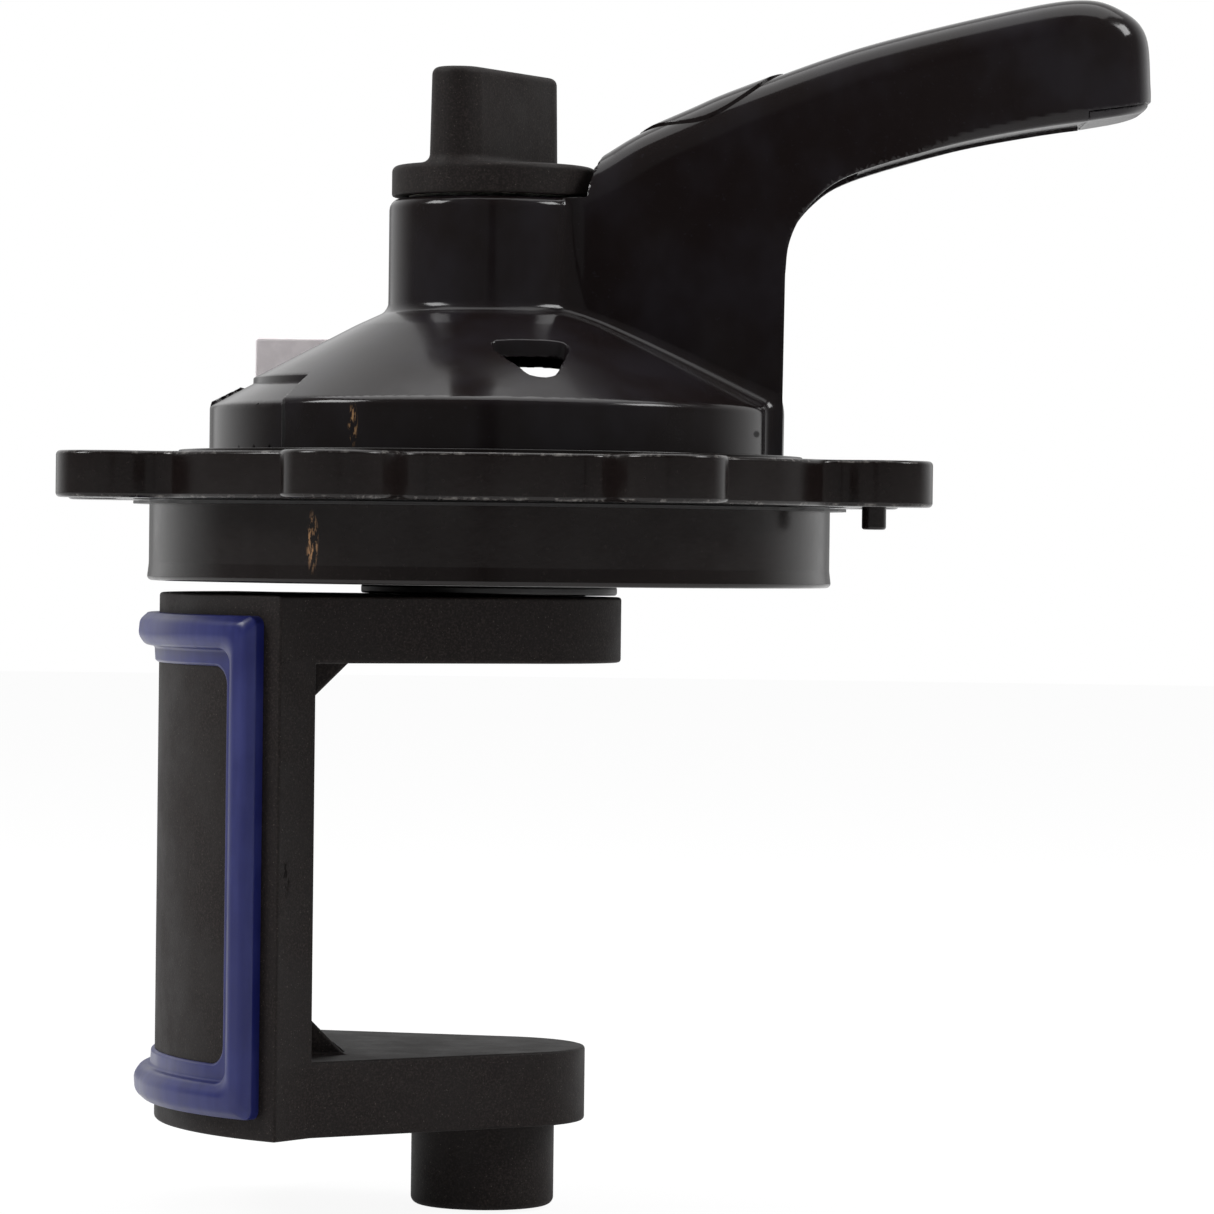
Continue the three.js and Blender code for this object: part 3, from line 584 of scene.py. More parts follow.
def crossings(field, values, origin, step):
    # Where the surface crosses the lines between neighbouring places, the four voxels round each
    # crossing, and whether it leads inwards.
    shape = values.shape
    spots, cells, turned = [], [], []
    for axis in range(3):
        ahead = np.eye(3, dtype=int)[axis]
        size = np.array(shape) - ahead
        first = values[:size[0], :size[1], :size[2]]
        last = values[ahead[0]:, ahead[1]:, ahead[2]:]
        where = np.argwhere((first < 0) != (last < 0))
        at = tuple(where.T)
        near, far = first[at].astype(float), last[at].astype(float)
        start, stop = np.zeros(len(where)), np.ones(len(where))
        for _ in range(2):
            share = start + (stop - start) * near / (near - far)
            found = field(*(origin + (where + share[:, None] * ahead) * step).T)
            before = (found < 0) == (near < 0)
            start, near = np.where(before, share, start), np.where(before, found, near)
            stop, far = np.where(before, stop, share), np.where(before, far, found)
        share = start + (stop - start) * near / np.where(near == far, 1, near - far)
        spots.append(origin + (where + share[:, None] * ahead) * step)
        b, c = np.roll(np.eye(3, dtype=int), -axis - 1, axis=0)[:2]
        round4 = [where - b - c, where - c, where, where - b]
        cells.append(np.stack([np.ravel_multi_index(tuple(w.T), shape) for w in round4], axis=1))
        turned.append(first[at] >= 0)
    return np.concatenate(spots), np.concatenate(cells), np.concatenate(turned)


def skinOf(field, low, high, step):
    # Closed skin where the field is zero. Each voxel that the surface passes through gets one
    # point, where the surface's planes in that voxel meet, so sharp edges stay sharp. Returns
    # the points, the faces and a normal for each corner of each face.
    axes = [np.arange(a - 2.5 * step, b + 3.5 * step, step) for a, b in zip(low, high)]
    shape = [len(a) for a in axes]
    origin = np.array([a[0] for a in axes])
    values = field(axes[0][:, None, None], axes[1][None, :, None], axes[2][None, None, :])
    spots, cells, turned = crossings(field, np.broadcast_to(values, shape), origin, step)
    facing = unit(fieldSlope(field, spots))
    ids, owner = np.unique(cells, return_inverse=True)
    owner = owner.reshape(cells.shape)
    count = np.bincount(owner.ravel(), minlength=len(ids))

    def gathered(vectors):
        return np.stack([np.bincount(owner.ravel(), np.repeat(row, 4), len(ids)) / count
                         for row in vectors.T], axis=1)

    middle, normal = gathered(spots), unit(gathered(facing))
    matrix = np.array([gathered(facing * part[:, None]).T for part in facing.T])
    matrix = matrix.transpose(2, 0, 1)
    target = gathered(facing * (facing * spots).sum(1)[:, None])
    target -= np.einsum("nij,nj->ni", matrix, middle)
    points = middle + np.linalg.solve(matrix + 0.01 * np.eye(3), target[..., None])[..., 0]
    corner = origin + np.stack(np.unravel_index(ids, shape), axis=1) * step
    points = np.clip(points, corner - 0.1 * step, corner + 1.1 * step)
    # How far apart the planes in a voxel face tells an edge from a plain or rounded place.
    spread = np.full(len(ids), 1.0)
    np.minimum.at(spread, owner.ravel(), (facing[:, None] * normal[owner]).sum(2).ravel())
    smooth = spread > 0.93
    for _ in range(2):
        slope = fieldSlope(field, points[smooth])
        shift = field(*points[smooth].T) / np.maximum((slope ** 2).sum(1), 0.3)
        points[smooth] -= slope * np.clip(shift, -0.5 * step, 0.5 * step)[:, None]
    normal[smooth] = unit(fieldSlope(field, points[smooth]))
    quads = np.where(turned[:, None], owner[:, ::-1], owner)
    # A quad beside an edge is split along the diagonal that lies nearer the surface.
    a, b, c, d = quads.T
    edged = ~smooth[quads].all(1)
    across = np.zeros(len(quads), bool)

    def away(one, other):
        return np.abs(field(*((points[one[edged]] + points[other[edged]]) / 2).T))

    across[edged] = away(b, d) < away(a, c)
    faces = np.concatenate([
        np.where(across[:, None], np.stack([a, b, d], 1), np.stack([a, b, c], 1)),
        np.where(across[:, None], np.stack([b, c, d], 1), np.stack([a, c, d], 1)),
    ])
    # At an edge each face takes the field's slope on its own side.
    corners = points[faces]
    inwards = (corners + corners.mean(1)[:, None]) / 2
    normals = normal[faces]
    sharp = ~smooth[faces]
    normals[sharp] = unit(fieldSlope(field, inwards[sharp]))
    return points, faces, normals


def turnedSkin(profile, segments=160):
    # Closed skin of an outline of (radius, z) turned round the Z axis.
    angles = np.linspace(0, 2 * pi, segments, endpoint=False)
    points, faces, rings = [], [], []
    for radius, z in np.asarray(profile, float):
        if radius < 1e-6:
            rings.append([len(points)] * segments)
            points.append((0, 0, z))
            continue
        rings.append(list(range(len(points), len(points) + segments)))
        points += [(radius * cos(a), radius * sin(a), z) for a in angles]
    for index, ring in enumerate(rings):
        ahead = rings[(index + 1) % len(rings)]
        if ring[0] == ring[1] and ahead[0] == ahead[1]:
            continue
        for k in range(segments):
            m = (k + 1) % segments
            faces.append(list(dict.fromkeys([ring[k], ring[m], ahead[m], ahead[k]])))
    return points, faces


def plateSkin(loops, bottom, top, edge, steps=4):
    # Flat plate with rounded rims. The first loop is its outline, the others are holes; the
    # outline runs anticlockwise and the holes clockwise.
    insets = [(edge * (1 - sin(a)), edge * (1 - cos(a)))
              for a in np.linspace(0, pi / 2, steps + 1)]
    levels = [(inset, bottom + rise) for inset, rise in insets]
    levels += [(inset, top - rise) for inset, rise in reversed(insets)]
    points, faces, rims = [], [], []
    lids = [[], []]
    for loop in loops:
        loop = np.asarray(loop, float)
        ahead = np.roll(loop, -1, axis=0) - loop
        ahead /= np.linalg.norm(ahead, axis=1)[:, None]
        back = np.roll(ahead, 1, axis=0)
        out = np.stack([ahead[:, 1] + back[:, 1], -ahead[:, 0] - back[:, 0]], axis=1)
        out /= np.maximum(1 + (ahead * back).sum(1), 0.3)[:, None]
        size = len(loop)
        rings = []
        for inset, z in levels:
            rings.append(len(points))
            points += [(x, y, z) for x, y in loop - out * inset]
            rims += [1.0 if 0.05 * edge < inset < 0.8 * edge else 0.0] * size
        for lower, upper in zip(rings, rings[1:]):
            for k in range(size):
                m = (k + 1) % size
                faces.append([lower + k, lower + m, upper + m, upper + k])
        for lid, start in zip(lids, (rings[0], rings[-1])):
            lid.append(list(range(start, start + size)))
    for side, lid in enumerate(lids):
        flat = [k for loop in lid for k in loop]
        outlines = [[Vector((*points[k][:2], 0)) for k in loop] for loop in lid]
        for triangle in geometry.tessellate_polygon(outlines):
            corners = [flat[k] for k in triangle]
            a, b, c = (points[k] for k in corners)
            up = (b[0] - a[0]) * (c[1] - a[1]) - (b[1] - a[1]) * (c[0] - a[0]) > 0
            faces.append(corners if up == (side == 1) else corners[::-1])
    return points, faces, rims


def together(skins):
    # Several skins as one list of points and faces, with the rim value of each point.
    points, faces, rims = [], [], []
    for skin in skins:
        start = len(points)
        points += [tuple(p) for p in skin[0]]
        faces += [[k + start for k in face] for face in skin[1]]
        rims += list(skin[2]) if len(skin) > 2 else [0.0] * len(skin[0])
    return points, faces, rims


def prism(outline, bottom, top):
    size = len(outline)
    points = [(x, y, z) for z in (bottom, top) for x, y in outline]
    faces = [list(range(size))[::-1], list(range(size, 2 * size))]
    faces += [[k, (k + 1) % size, (k + 1) % size + size, k + size] for k in range(size)]
    return points, faces


def outward(piece):
    bm = bmesh.new()
    bm.from_mesh(piece.data)
    bmesh.ops.remove_doubles(bm, verts=bm.verts, dist=1e-7)
    bmesh.ops.recalc_face_normals(bm, faces=bm.faces)
    bm.to_mesh(piece.data)
    bm.free()
    return piece


def crispShading(piece, angle=32):
    piece.data.set_sharp_from_angle(angle=radians(angle))
    modifier = piece.modifiers.new("flatFacesFirst", "WEIGHTED_NORMAL")
    modifier.keep_sharp = True
    modifier.weight = 60


def combined(piece, tools, operation):
    # Joins the tools to the piece, or cuts them out of it, and leaves a plain mesh.
    for tool in tools:
        modifier = piece.modifiers.new("combined", "BOOLEAN")
        modifier.operation = operation
        modifier.object = tool
    flattened(piece)
    for tool in tools:
        bpy.data.objects.remove(tool)


def flattened(piece):
    bpy.context.view_layer.update()
    depsgraph = bpy.context.evaluated_depsgraph_get()
    mesh = bpy.data.meshes.new_from_object(piece.evaluated_get(depsgraph))
    piece.modifiers.clear()
    piece.data = mesh
    return piece


def takenApart(piece):
    # The points in mm and the faces of a piece, which is removed.
    skin = ([tuple(v.co / mm) for v in piece.data.vertices],
            [list(f.vertices) for f in piece.data.polygons])
    bpy.data.objects.remove(piece)
    return skin


print("shape helpers ready")

# Handle: dome, neck, web and lever in one moulding.

handle = {
    "rim": 132.6,
    "below": 5,
    "radius": 50.5,
    "skirt": 8.1,
    "skirtEdge": 1.7,
    "flareRadius": 24.0,
    "flareBend": 14,
    "coneRise": 14.1,
    "flareRise": 2.6,
    "neck": 18.4,
    "neckEdge": 2.0,
    "neckLength": 19.8,
    "wall": 2.0,
    "neckWall": 3.0,
    "bore": 5.6,
    "coreTube": 8.6,
    "coreTubeFrom": 152.1,
    "cavityTop": 171.2,
    "legs": {"x": 14.95, "half": (1.95, 4.4), "bottom": 138.5, "sunk": 4, "edge": 0.3},
    "seat": 20.0,
    "seatLean": 0.07,
    "seatEdge": 0.25,
    "halfWidth": 13.2,
    "tipStart": 98.0,
    "tipNarrowing": 3.0,
    "crown": 7.0,
    "edgeAt": [74, 82, 102],
    "edges": [0.25, 1.4, 2.2],
    "coneFilletAt": (14, 50),
    "coneFillet": (1.3, 3.2),
    "neckFilletAt": (155, 173),
    "neckFillet": (3.2, 1.0),
    "channelWall": 2.5,
    "channelDepth": 1.8,
    "channelFrom": 143,
    "channelEdge": 0.15,
    "gripStart": 64.0,
    "gripEnd": 107.0,
    "gripDepth": 3.3,
    "lipStart": 103.8,
    "lipDepth": 1.7,
    "step": 0.72,
}
leverTop = [(15.5, 50.2), (19.3, 52.3), (25.5, 56.1), (34.3, 60.15), (43, 63.95), (64.1, 71.7),
            (88.8, 78.15), (102.4, 80.55), (109.6, 79.0), (114.3, 74.6), (115.4, 64.6)]
leverUnderside = [(115.4, 61.1), (110.3, 59.9), (96.2, 57.8), (82.1, 55), (68, 51),
                  (61, 48.3), (57.2, 45.6), (53.9, 41.8), (51.8, 36.9), (51.2, 31.4)]
window = {"azimuths": (76.9, -76.9), "edge": 0.25,
          "outline": [(30.0, -6.65, 2.2), (32.8, -6.65, 1.3), (42.6, -1.9, 3.0),
                      (42.6, 1.9, 3.0), (32.8, 6.65, 1.3), (30.0, 6.65, 2.2)]}
recess = {"corner": (-30.3, 26.8), "end": (-34.5, 35.5), "inner": 42.0, "depth": 0.9, "edge": 0.15}
arrow = {"end": 49.2, "tip": 44.0, "slope": 0.9, "halfWidth": 4.6, "rise": 0.55, "edge": 0.2}
badge = {"x": 38.2, "halfLength": 12.6, "halfWidth": 11.8, "depth": 0.9, "proud": 0.45,
         "above": 180, "bottom": 184, "top": 203, "edge": 0.12, "step": 0.3}
# An inset that reaches past both sides of the lever.
wholeWidth = -40


def evenly(points, spacing):
    points = np.asarray(points, float)
    along = np.concatenate([[0], np.cumsum(np.linalg.norm(np.diff(points, axis=0), axis=1))])
    at = np.linspace(0, along[-1], max(2, round(along[-1] / spacing) + 1))
    return np.stack([np.interp(at, along, points[:, i]) for i in (0, 1)], axis=1)


def leverLines(s):
    return [evenly(spline([(x, s["rim"] + up) for x, up in line], 16), 1.1)
            for line in (leverTop, leverUnderside)]


def hubOutlines(s):
    # Outlines of (radius, z) of the dome, the neck's column and the hollow in both.
    slope = s["coneRise"] / (s["radius"] - s["flareRadius"])
    drop = s["wall"] * hypot(1, slope)
    shoulder = s["rim"] + s["skirt"]
    coneTop = shoulder + s["coneRise"]
    neckBase = coneTop + s["flareRise"]
    neckTop = neckBase + s["neckLength"]
    floor = s["rim"] - s["below"]
    inner, neckInner = s["radius"] - s["wall"], s["neck"] - s["neckWall"]
    dome = roundCorners([
        (0, floor), (s["radius"], floor), (s["radius"], shoulder, s["skirtEdge"]),
        (s["flareRadius"], coneTop, s["flareBend"]), (s["neck"] - 1, neckBase + 0.5),
        (0, neckBase + 0.5),
    ], 6)
    column = roundCorners([(0, s["rim"]), (s["neck"], s["rim"]),
                           (s["neck"], neckTop, s["neckEdge"]), (0, neckTop)], 6)
    hollow = np.array([
        (0, floor), (inner, floor), (inner, shoulder - drop + slope * s["wall"]),
        (s["flareRadius"] - s["wall"], coneTop - drop), (neckInner, neckBase - drop),
        (neckInner, s["cavityTop"]), (0, s["cavityTop"]),
    ])
    return dome, column, hollow, neckBase, neckTop


def leverParts(s):
    # Fields of the lever, and of its channel: the places within some depth of its underside.
    top, under = leverLines(s)
    tip, floor = top[-1][0], s["rim"] - 12
    crownDistance = tabled(np.array([(s["neck"] / 2, floor), (tip, floor), *top[::-1],
                                     (s["neck"] / 2, top[0][1] - 3)]))
    belowDistance = tabled(np.array([(tip + 12, floor), (tip + 12, under[0][1]), *under,
                                     (under[-1][0] - 0.4, floor)]))

    def halfWidth(x):
        toTip = np.clip((x - s["tipStart"]) / (tip - s["tipStart"]), 0, 0.999)
        return s["halfWidth"] - s["tipNarrowing"] * (1 - np.sqrt(1 - toTip ** 2))

    def lever(x, y, z):
        crowned = roundMeet(crownDistance(x, z), np.abs(y) - halfWidth(x), s["crown"])
        return roundMeet(crowned, -belowDistance(x, z), np.interp(x, s["edgeAt"], s["edges"]))

    def within(x, y, z, depth, inset):
        # Nearer than depth to the underside, and more than inset from the lever's sides.
        return np.maximum(belowDistance(x, z) - depth, np.abs(y) - halfWidth(x) + inset)

    return lever, within


def makeHandleField(s, lever, within):
    *outlines, neckBase, neckTop = hubOutlines(s)
    domeDistance, columnDistance, hollowDistance = map(tabled, outlines)
    windowDistance = tabled(roundCorners(window["outline"], 12))
    legs = s["legs"]
    (x0, y0), (x1, y1) = recess["corner"], recess["end"]
    away = np.array([y1 - y0, x0 - x1]) / hypot(x1 - x0, y1 - y0)

    def field(x, y, z):
        r = np.hypot(x, y)
        outer = domeDistance(r, z)
        neckFillet = np.interp(z, s["neckFilletAt"], s["neckFillet"])
        coneFillet = np.interp(x, s["coneFilletAt"], s["coneFillet"])
        upright = roundJoin(columnDistance(r, z), lever(x, y, z), neckFillet)
        body = roundJoin(outer, upright, coneFillet)
        # The pointer's recess, with its raised arrow, on the side away from the lever.
        sunk = -(outer + recess["depth"])
        wedge = (x - x0) * away[0] + (np.abs(y) - y0) * away[1]
        body = carve(body, highest(sunk, wedge, recess["inner"] - r), recess["edge"])
        pointer = highest(-x - arrow["end"], arrow["tip"] + x + np.abs(y) * arrow["slope"],
                          np.abs(y) - arrow["halfWidth"])
        body = np.minimum(body, roundMeet(-sunk - arrow["rise"], pointer, arrow["edge"]))
        body = np.maximum(body, s["rim"] - z)
        # The knob's seat, the hollow of the dome and the windows.
        seat = r - s["seat"] + s["seatLean"] * y
        body = carve(body, np.maximum(seat, neckTop - z), s["seatEdge"])
        tube = np.maximum(r - s["coreTube"], s["coreTubeFrom"] - z)
        body = carve(body, np.maximum(hollowDistance(r, z), -tube))
        bars = roundMeet(np.abs(np.abs(x) - legs["x"]) - legs["half"][0],
                         np.abs(y) - legs["half"][1], legs["edge"])
        bars = highest(bars, legs["bottom"] - z, z - neckBase - legs["sunk"])
        body = np.maximum(np.minimum(body, bars), s["bore"] - r)
        for azimuth in window["azimuths"]:
            body = carve(body, windowDistance(*alongAcross(x, y, azimuth)), window["edge"])
        # The channel up the web's end and under the lever, deeper where it takes the cover, and
        # the full width of the lever where the cover's lip closes the tip.
        tunnel = np.maximum(within(x, y, z, s["channelDepth"], s["channelWall"]),
                            s["channelFrom"] - z)
        seat = highest(within(x, y, z, s["gripDepth"], s["channelWall"]), s["gripStart"] - x,
                       x - s["gripEnd"])
        lip = np.maximum(within(x, y, z, s["lipDepth"], wholeWidth), s["lipStart"] - x)
        return carve(body, np.minimum(np.minimum(tunnel, seat), lip), s["channelEdge"])

    return field


def makeHandle(s):
    lever, within = leverParts(s)
    low = (-s["radius"], -s["radius"], s["rim"])
    high = (leverTop[-1][0], s["radius"], s["rim"] + max(up for _, up in leverTop) + 0.5)
    addSkin("handleMoulding", makeHandleField(s, lever, within), low, high, s["step"],
            "gloss_black", "valve", ["handle"])


def makeBadge(s, h):
    lever, _ = leverParts(h)
    long, wide = s["halfLength"], s["halfWidth"]

    # The bare badge is let into the crown, and stands a little proud.
    def field(x, y, z):
        crown = lever(x, y, z)
        plate = np.maximum(crown - s["proud"], -(crown + s["depth"]))
        oval = (np.hypot((x - s["x"]) / long, y / wide) - 1) * wide
        return roundMeet(plate, np.maximum(oval, s["above"] - z), s["edge"])

    low, high = (s["x"] - long, -wide, s["bottom"]), (s["x"] + long, wide, s["top"])
    addSkin("badgeInlay", field, low, high, s["step"], "gloss_black", "valve")


makeHandle(handle)
makeBadge(badge, handle)
print("handle and its badge made")

# Cover under the grip: a plate between the walls of the channel, and a lip over the whole width
# at the tip.

gripCover = {"gap": 0.3, "seam": 0.1, "recess": 0.5, "lipInset": (0.05, 0.35), "tipInset": 0.7,
             "bottom": 181, "top": 199, "edge": 0.25, "step": 0.5}


def makeGripCover(s, h):
    lever, within = leverParts(h)
    tip = leverTop[-1][0] - s["tipInset"]

    def field(x, y, z):
        plate = highest(within(x, y, z, h["gripDepth"] - s["gap"], h["channelWall"] + s["gap"]),
                        -within(x, 0, z, s["recess"], 0),
                        h["gripStart"] + s["gap"] - x, x - h["gripEnd"] + s["gap"])
        bar = lever(x, y, z) + np.interp(x, [h["lipStart"], tip], s["lipInset"])
        lip = np.maximum(within(x, y, z, h["lipDepth"] - s["seam"], wholeWidth),
                         h["lipStart"] + s["seam"] - x)
        return np.minimum(plate, roundMeet(lip, np.maximum(bar, x - tip), s["edge"]))

    low, high = (h["gripStart"], -h["halfWidth"], s["bottom"]), (tip, h["halfWidth"], s["top"])
    addSkin("gripCover", field, low, high, s["step"], "gloss_black", "valve",
            ["grip_underside_cover"])


makeGripCover(gripCover, handle)
print("grip cover made")

# Locking knob.

knob = {
    "bottom": 177.6,
    "bottomEdge": 0.4,
    "flangeRadius": 18.0,
    "flangeHeight": 5.4,
    "flangeEdge": 1.1,
    "wingLength": 35.0,
    "wingThickness": 10.0,
    "wingHeight": 16.7,
    "wingDraft": 0.018,
    "wingEdge": 1.3,
    "wingTurn": 61.0,
    "fillet": 1.5,
    "washerPocket": (15.3, 1.3),
    "headPocket": (6.8, 4.6),
    "margin": 0.2,
    "step": 0.36,
}


def hexagon(x, y, half):
    return highest(np.abs(x), np.abs(x / 2 + y * 0.866), np.abs(x / 2 - y * 0.866)) - half


def makeKnob(s):
    flangeTop = s["bottom"] + s["flangeHeight"]
    top = flangeTop + s["wingHeight"]
    half = s["wingThickness"] / 2
    reach = s["wingLength"] / 2 - half
    (washerRadius, washerDepth), (headHalf, headDepth) = s["washerPocket"], s["headPocket"]

    def field(x, y, z):
        r = np.hypot(x, y)
        flange = roundMeet(r - s["flangeRadius"], z - flangeTop, s["flangeEdge"])
        along, across = alongAcross(x, y, s["wingTurn"])
        # The wing thins a little towards its top.
        draft = (z - flangeTop) * s["wingDraft"]
        side = np.hypot(np.maximum(np.abs(along) - reach, 0), across) - half + draft
        body = roundJoin(flange, roundMeet(side, z - top, s["wingEdge"]), s["fillet"])
        body = roundMeet(body, s["bottom"] - z, s["bottomEdge"])
        up = z - s["bottom"]
        pocket = np.minimum(np.maximum(r - washerRadius, up - washerDepth),
                            np.maximum(hexagon(x, y, headHalf), up - headDepth))
        return np.maximum(body, -pocket)

    wide = s["flangeRadius"] + s["margin"]
    addSkin("wingKnob", field, (-wide, -wide, s["bottom"]), (wide, wide, top), s["step"],
            "matt_black", "knob", ["knob"])


makeKnob(knob)
print("knob made")

# Lid: lobed plate, skirt, boss and dowel.

lid = {
    "bottom": 109.5,
    "plateBottom": 123.7,
    "plateTop": 131.7,
    "rimRadius": 66.3,
    "plateEdge": 0.75,
    "lobes": 8,
    "lobePitch": 70.7,
    "lobeRadius": 10.07,
    "lobePhase": -19.3,
    "lobeFillet": 4.5,
    "holeRadius": 3.3,
    "skirtRadius": 60.0,
    "skirtWall": 4.0,
    "flare": 0.35,
    "flareHeight": 3,
    "bossRadius": 25.0,
    "bossTop": 133.7,
    "bore": 19.8,
    "ringRadius": 55.0,
    "ringWidth": 6,
    "ringRise": 0.74,
    "dowelRadius": 2.1,
    "dowelLength": 3.9,
}


def lobeCentre(s, lobe):
    azimuth = radians(s["lobePhase"] + lobe * 360 / s["lobes"])
    return s["lobePitch"] * cos(azimuth), s["lobePitch"] * sin(azimuth)


def lobedOutline(s):
    pitch = s["rimRadius"] + s["lobeFillet"]
    angle = degrees(acos(
        (pitch ** 2 + s["lobePitch"] ** 2 - (s["lobeRadius"] + s["lobeFillet"]) ** 2)
        / (2 * pitch * s["lobePitch"])))
    step = 360 / s["lobes"]
    points = []
    for lobe in range(s["lobes"]):
        azimuth = s["lobePhase"] + lobe * step
        centre = np.array(lobeCentre(s, lobe))

        def fillet(side):
            at = radians(azimuth + side * angle)
            middle = pitch * np.array([cos(at), sin(at)])
            toAxis = degrees(atan2(-middle[1], -middle[0]))
            toLobe = degrees(atan2(*(centre - middle)[::-1]))
            return middle, toAxis, toAxis + (toLobe - toAxis + 540) % 360 - 180

        before, after = fillet(-1), fillet(1)
        start = before[2] + 180
        sweep = (after[2] + 180 - start + 720) % 360
        points += arc(s["lobeFillet"], before[1], before[2], 8, before[0])
        points += arc(s["lobeRadius"], start, start + sweep, 34, centre)[1:-1]
        points += arc(s["lobeFillet"], after[2], after[1], 8, after[0])
        points += arc(s["rimRadius"], azimuth + angle, azimuth + step - angle, 18)[1:-1]
    return points


def ringOutline(outer, inner, bottom, top, edge=0.3):
    return roundCorners([(inner, bottom, edge), (outer, bottom, edge), (outer, top, edge),
                         (inner, top, edge)], 15)


def makeLid(s):
    holes = [arc(s["holeRadius"], 0, -350, 35, lobeCentre(s, lobe))
             for lobe in range(1, s["lobes"])]
    bore = arc(s["bore"], 0, -357, 119)
    plate = plateSkin([lobedOutline(s), *holes, bore], s["plateBottom"], s["plateTop"],
                      s["plateEdge"])
    inner, outer, bottom = s["skirtRadius"] - s["skirtWall"], s["skirtRadius"], s["bottom"]
    # The skirt and the dowel reach 1 mm into the plate.
    root = s["plateBottom"] + 1
    skirt = turnedSkin(roundCorners([
        (inner, bottom, 0.5), (outer + s["flare"], bottom, 0.8),
        (outer, bottom + s["flareHeight"], 3), (outer, root), (inner, root)]), 240)
    boss = turnedSkin(ringOutline(s["bossRadius"], s["bore"], bottom, s["bossTop"]))
    ring = turnedSkin(ringOutline(s["ringRadius"], s["ringRadius"] - s["ringWidth"],
                                  s["plateTop"] - 1, s["plateTop"] + s["ringRise"], 0.2), 240)
    dowelEnd = s["plateBottom"] - s["dowelLength"]
    dowel = turnedSkin(roundCorners([(0, dowelEnd), (s["dowelRadius"], dowelEnd, 0.5),
                                     (s["dowelRadius"], root), (0, root)]), 40)
    dowel = (np.array(dowel[0]) + (*lobeCentre(s, 0), 0), dowel[1])
    points, faces, rims = together([plate, skirt, boss, ring, dowel])
    piece = addPiece("lidPlate", points, faces, "satin_black", "lid", ["lid_plate"])
    attribute = piece.data.attributes.new("edge", "FLOAT", "POINT")
    attribute.data.foreach_set("value", np.asarray(rims, np.float32))
    crispShading(piece)


makeLid(lid)
print("lid made")

# Diverter: gate, two arms, gussets, pivot pin and shaft.

diverter = {
    "pivotRadius": 12.6,
    "pivotLength": 15.1,
    "pivotEdge": 1.4,
    "gateTop": 107.4,
    "gateOuter": 58.0,
    "gateInner": 48.0,
    "halfAngle": 45.0,
    "turn": 9.0,
    "lowerArm": 13.0,
    "lowerHub": 17.9,
    "upperArm": 11.5,
    "upperHub": 23.4,
    "gussetLeg": 16.8,
    "gussetThickness": 4.0,
    "gussetSpread": 40.0,
    "gussetSunk": 1,
    "gateSteps": 72,
    "hubSteps": 60,
    "edge": 0.55,
    "sunk": 2,
}
shaft = {
    "bottom": 104.4,
    "radius": 17.0,
    "top": 144.6,
    "topEdge": 0.8,
    "ringGrooves": (117.4, 123.8),
    "ringHalfHeight": 1.8,
    "ringDepth": 3,
    "clipGroove": (135.6, 137.6),
    "clipDepth": 1.6,
    "notch": {"inner": 12.4, "outer": 20, "halfWidth": 5, "bottom": 138.2},
    "pocketRadius": 7.7,
    "pocketBottom": 128.4,
    "cutTo": 150,
}


def gateOutline(s):
    first, last = 180 - s["halfAngle"], 180 + s["halfAngle"]
    return [*arc(s["gateOuter"], first, last, s["gateSteps"]),
            *arc(s["gateInner"], last, first, s["gateSteps"])]


def armOutline(s, hub):
    gate = gateOutline(s)
    near, far = gate[s["gateSteps"] + 1], gate[-1]
    bend = s["halfAngle"] + degrees(acos(hub / s["gateInner"]))
    return [*gate[:s["gateSteps"] + 1], near, *arc(hub, 180 + bend, 540 - bend, s["hubSteps"]),
            far]


def gussetPrism(s, corner, side, up):
    inner = -sqrt(s["gateInner"] ** 2 - (s["gussetSpread"] / 2) ** 2)
    leg, sunk = s["gussetLeg"], s["gussetSunk"]
    outline = [(inner - sunk, corner - up), (inner + leg + sunk, corner - up),
               (inner - sunk, corner + up * (leg + sunk))]
    half = s["gussetThickness"] / 2
    middle = side * (s["gussetSpread"] / 2 - half)
    points, faces = prism(outline, -half, half)
    return [(x, middle + w, z) for x, z, w in points], faces


def makeDiverter(s):
    lowerTop = s["pivotLength"] + s["lowerArm"]
    upperBottom = s["gateTop"] - s["upperArm"]
    solids = [
        prism(armOutline(s, s["lowerHub"]), s["pivotLength"], lowerTop),
        prism(gateOutline(s), lowerTop - s["sunk"], upperBottom + s["sunk"]),
        prism(armOutline(s, s["upperHub"]), upperBottom, s["gateTop"]),
        *(gussetPrism(s, corner, side, up) for corner, up in ((upperBottom, -1), (lowerTop, 1))
          for side in (-1, 1)),
    ]
    body, *parts = [outward(looseMesh(f"diverterPart{index}", *solid))
                    for index, solid in enumerate(solids)]
    combined(body, parts, "UNION")
    bevel = body.modifiers.new("edges", "BEVEL")
    bevel.width = s["edge"] * mm
    bevel.segments = 3
    bevel.limit_method = "ANGLE"
    bevel.angle_limit = radians(35)
    bevel.use_clamp_overlap = False
    flattened(body)
    body.data.transform(Matrix.Rotation(radians(s["turn"]), 4, "Z"))
    pivotTop = s["pivotLength"] + s["sunk"]
    pivot = turnedSkin(roundCorners([(0, 0), (s["pivotRadius"], 0, s["pivotEdge"]),
                                     (s["pivotRadius"], pivotTop), (0, pivotTop)]))
    points, faces, _ = together([takenApart(body), pivot, makeShaft(shaft)])
    piece = addPiece("diverterBody", points, faces, "matt_black", "valve", ["diverter"])
    crispShading(piece, 30)


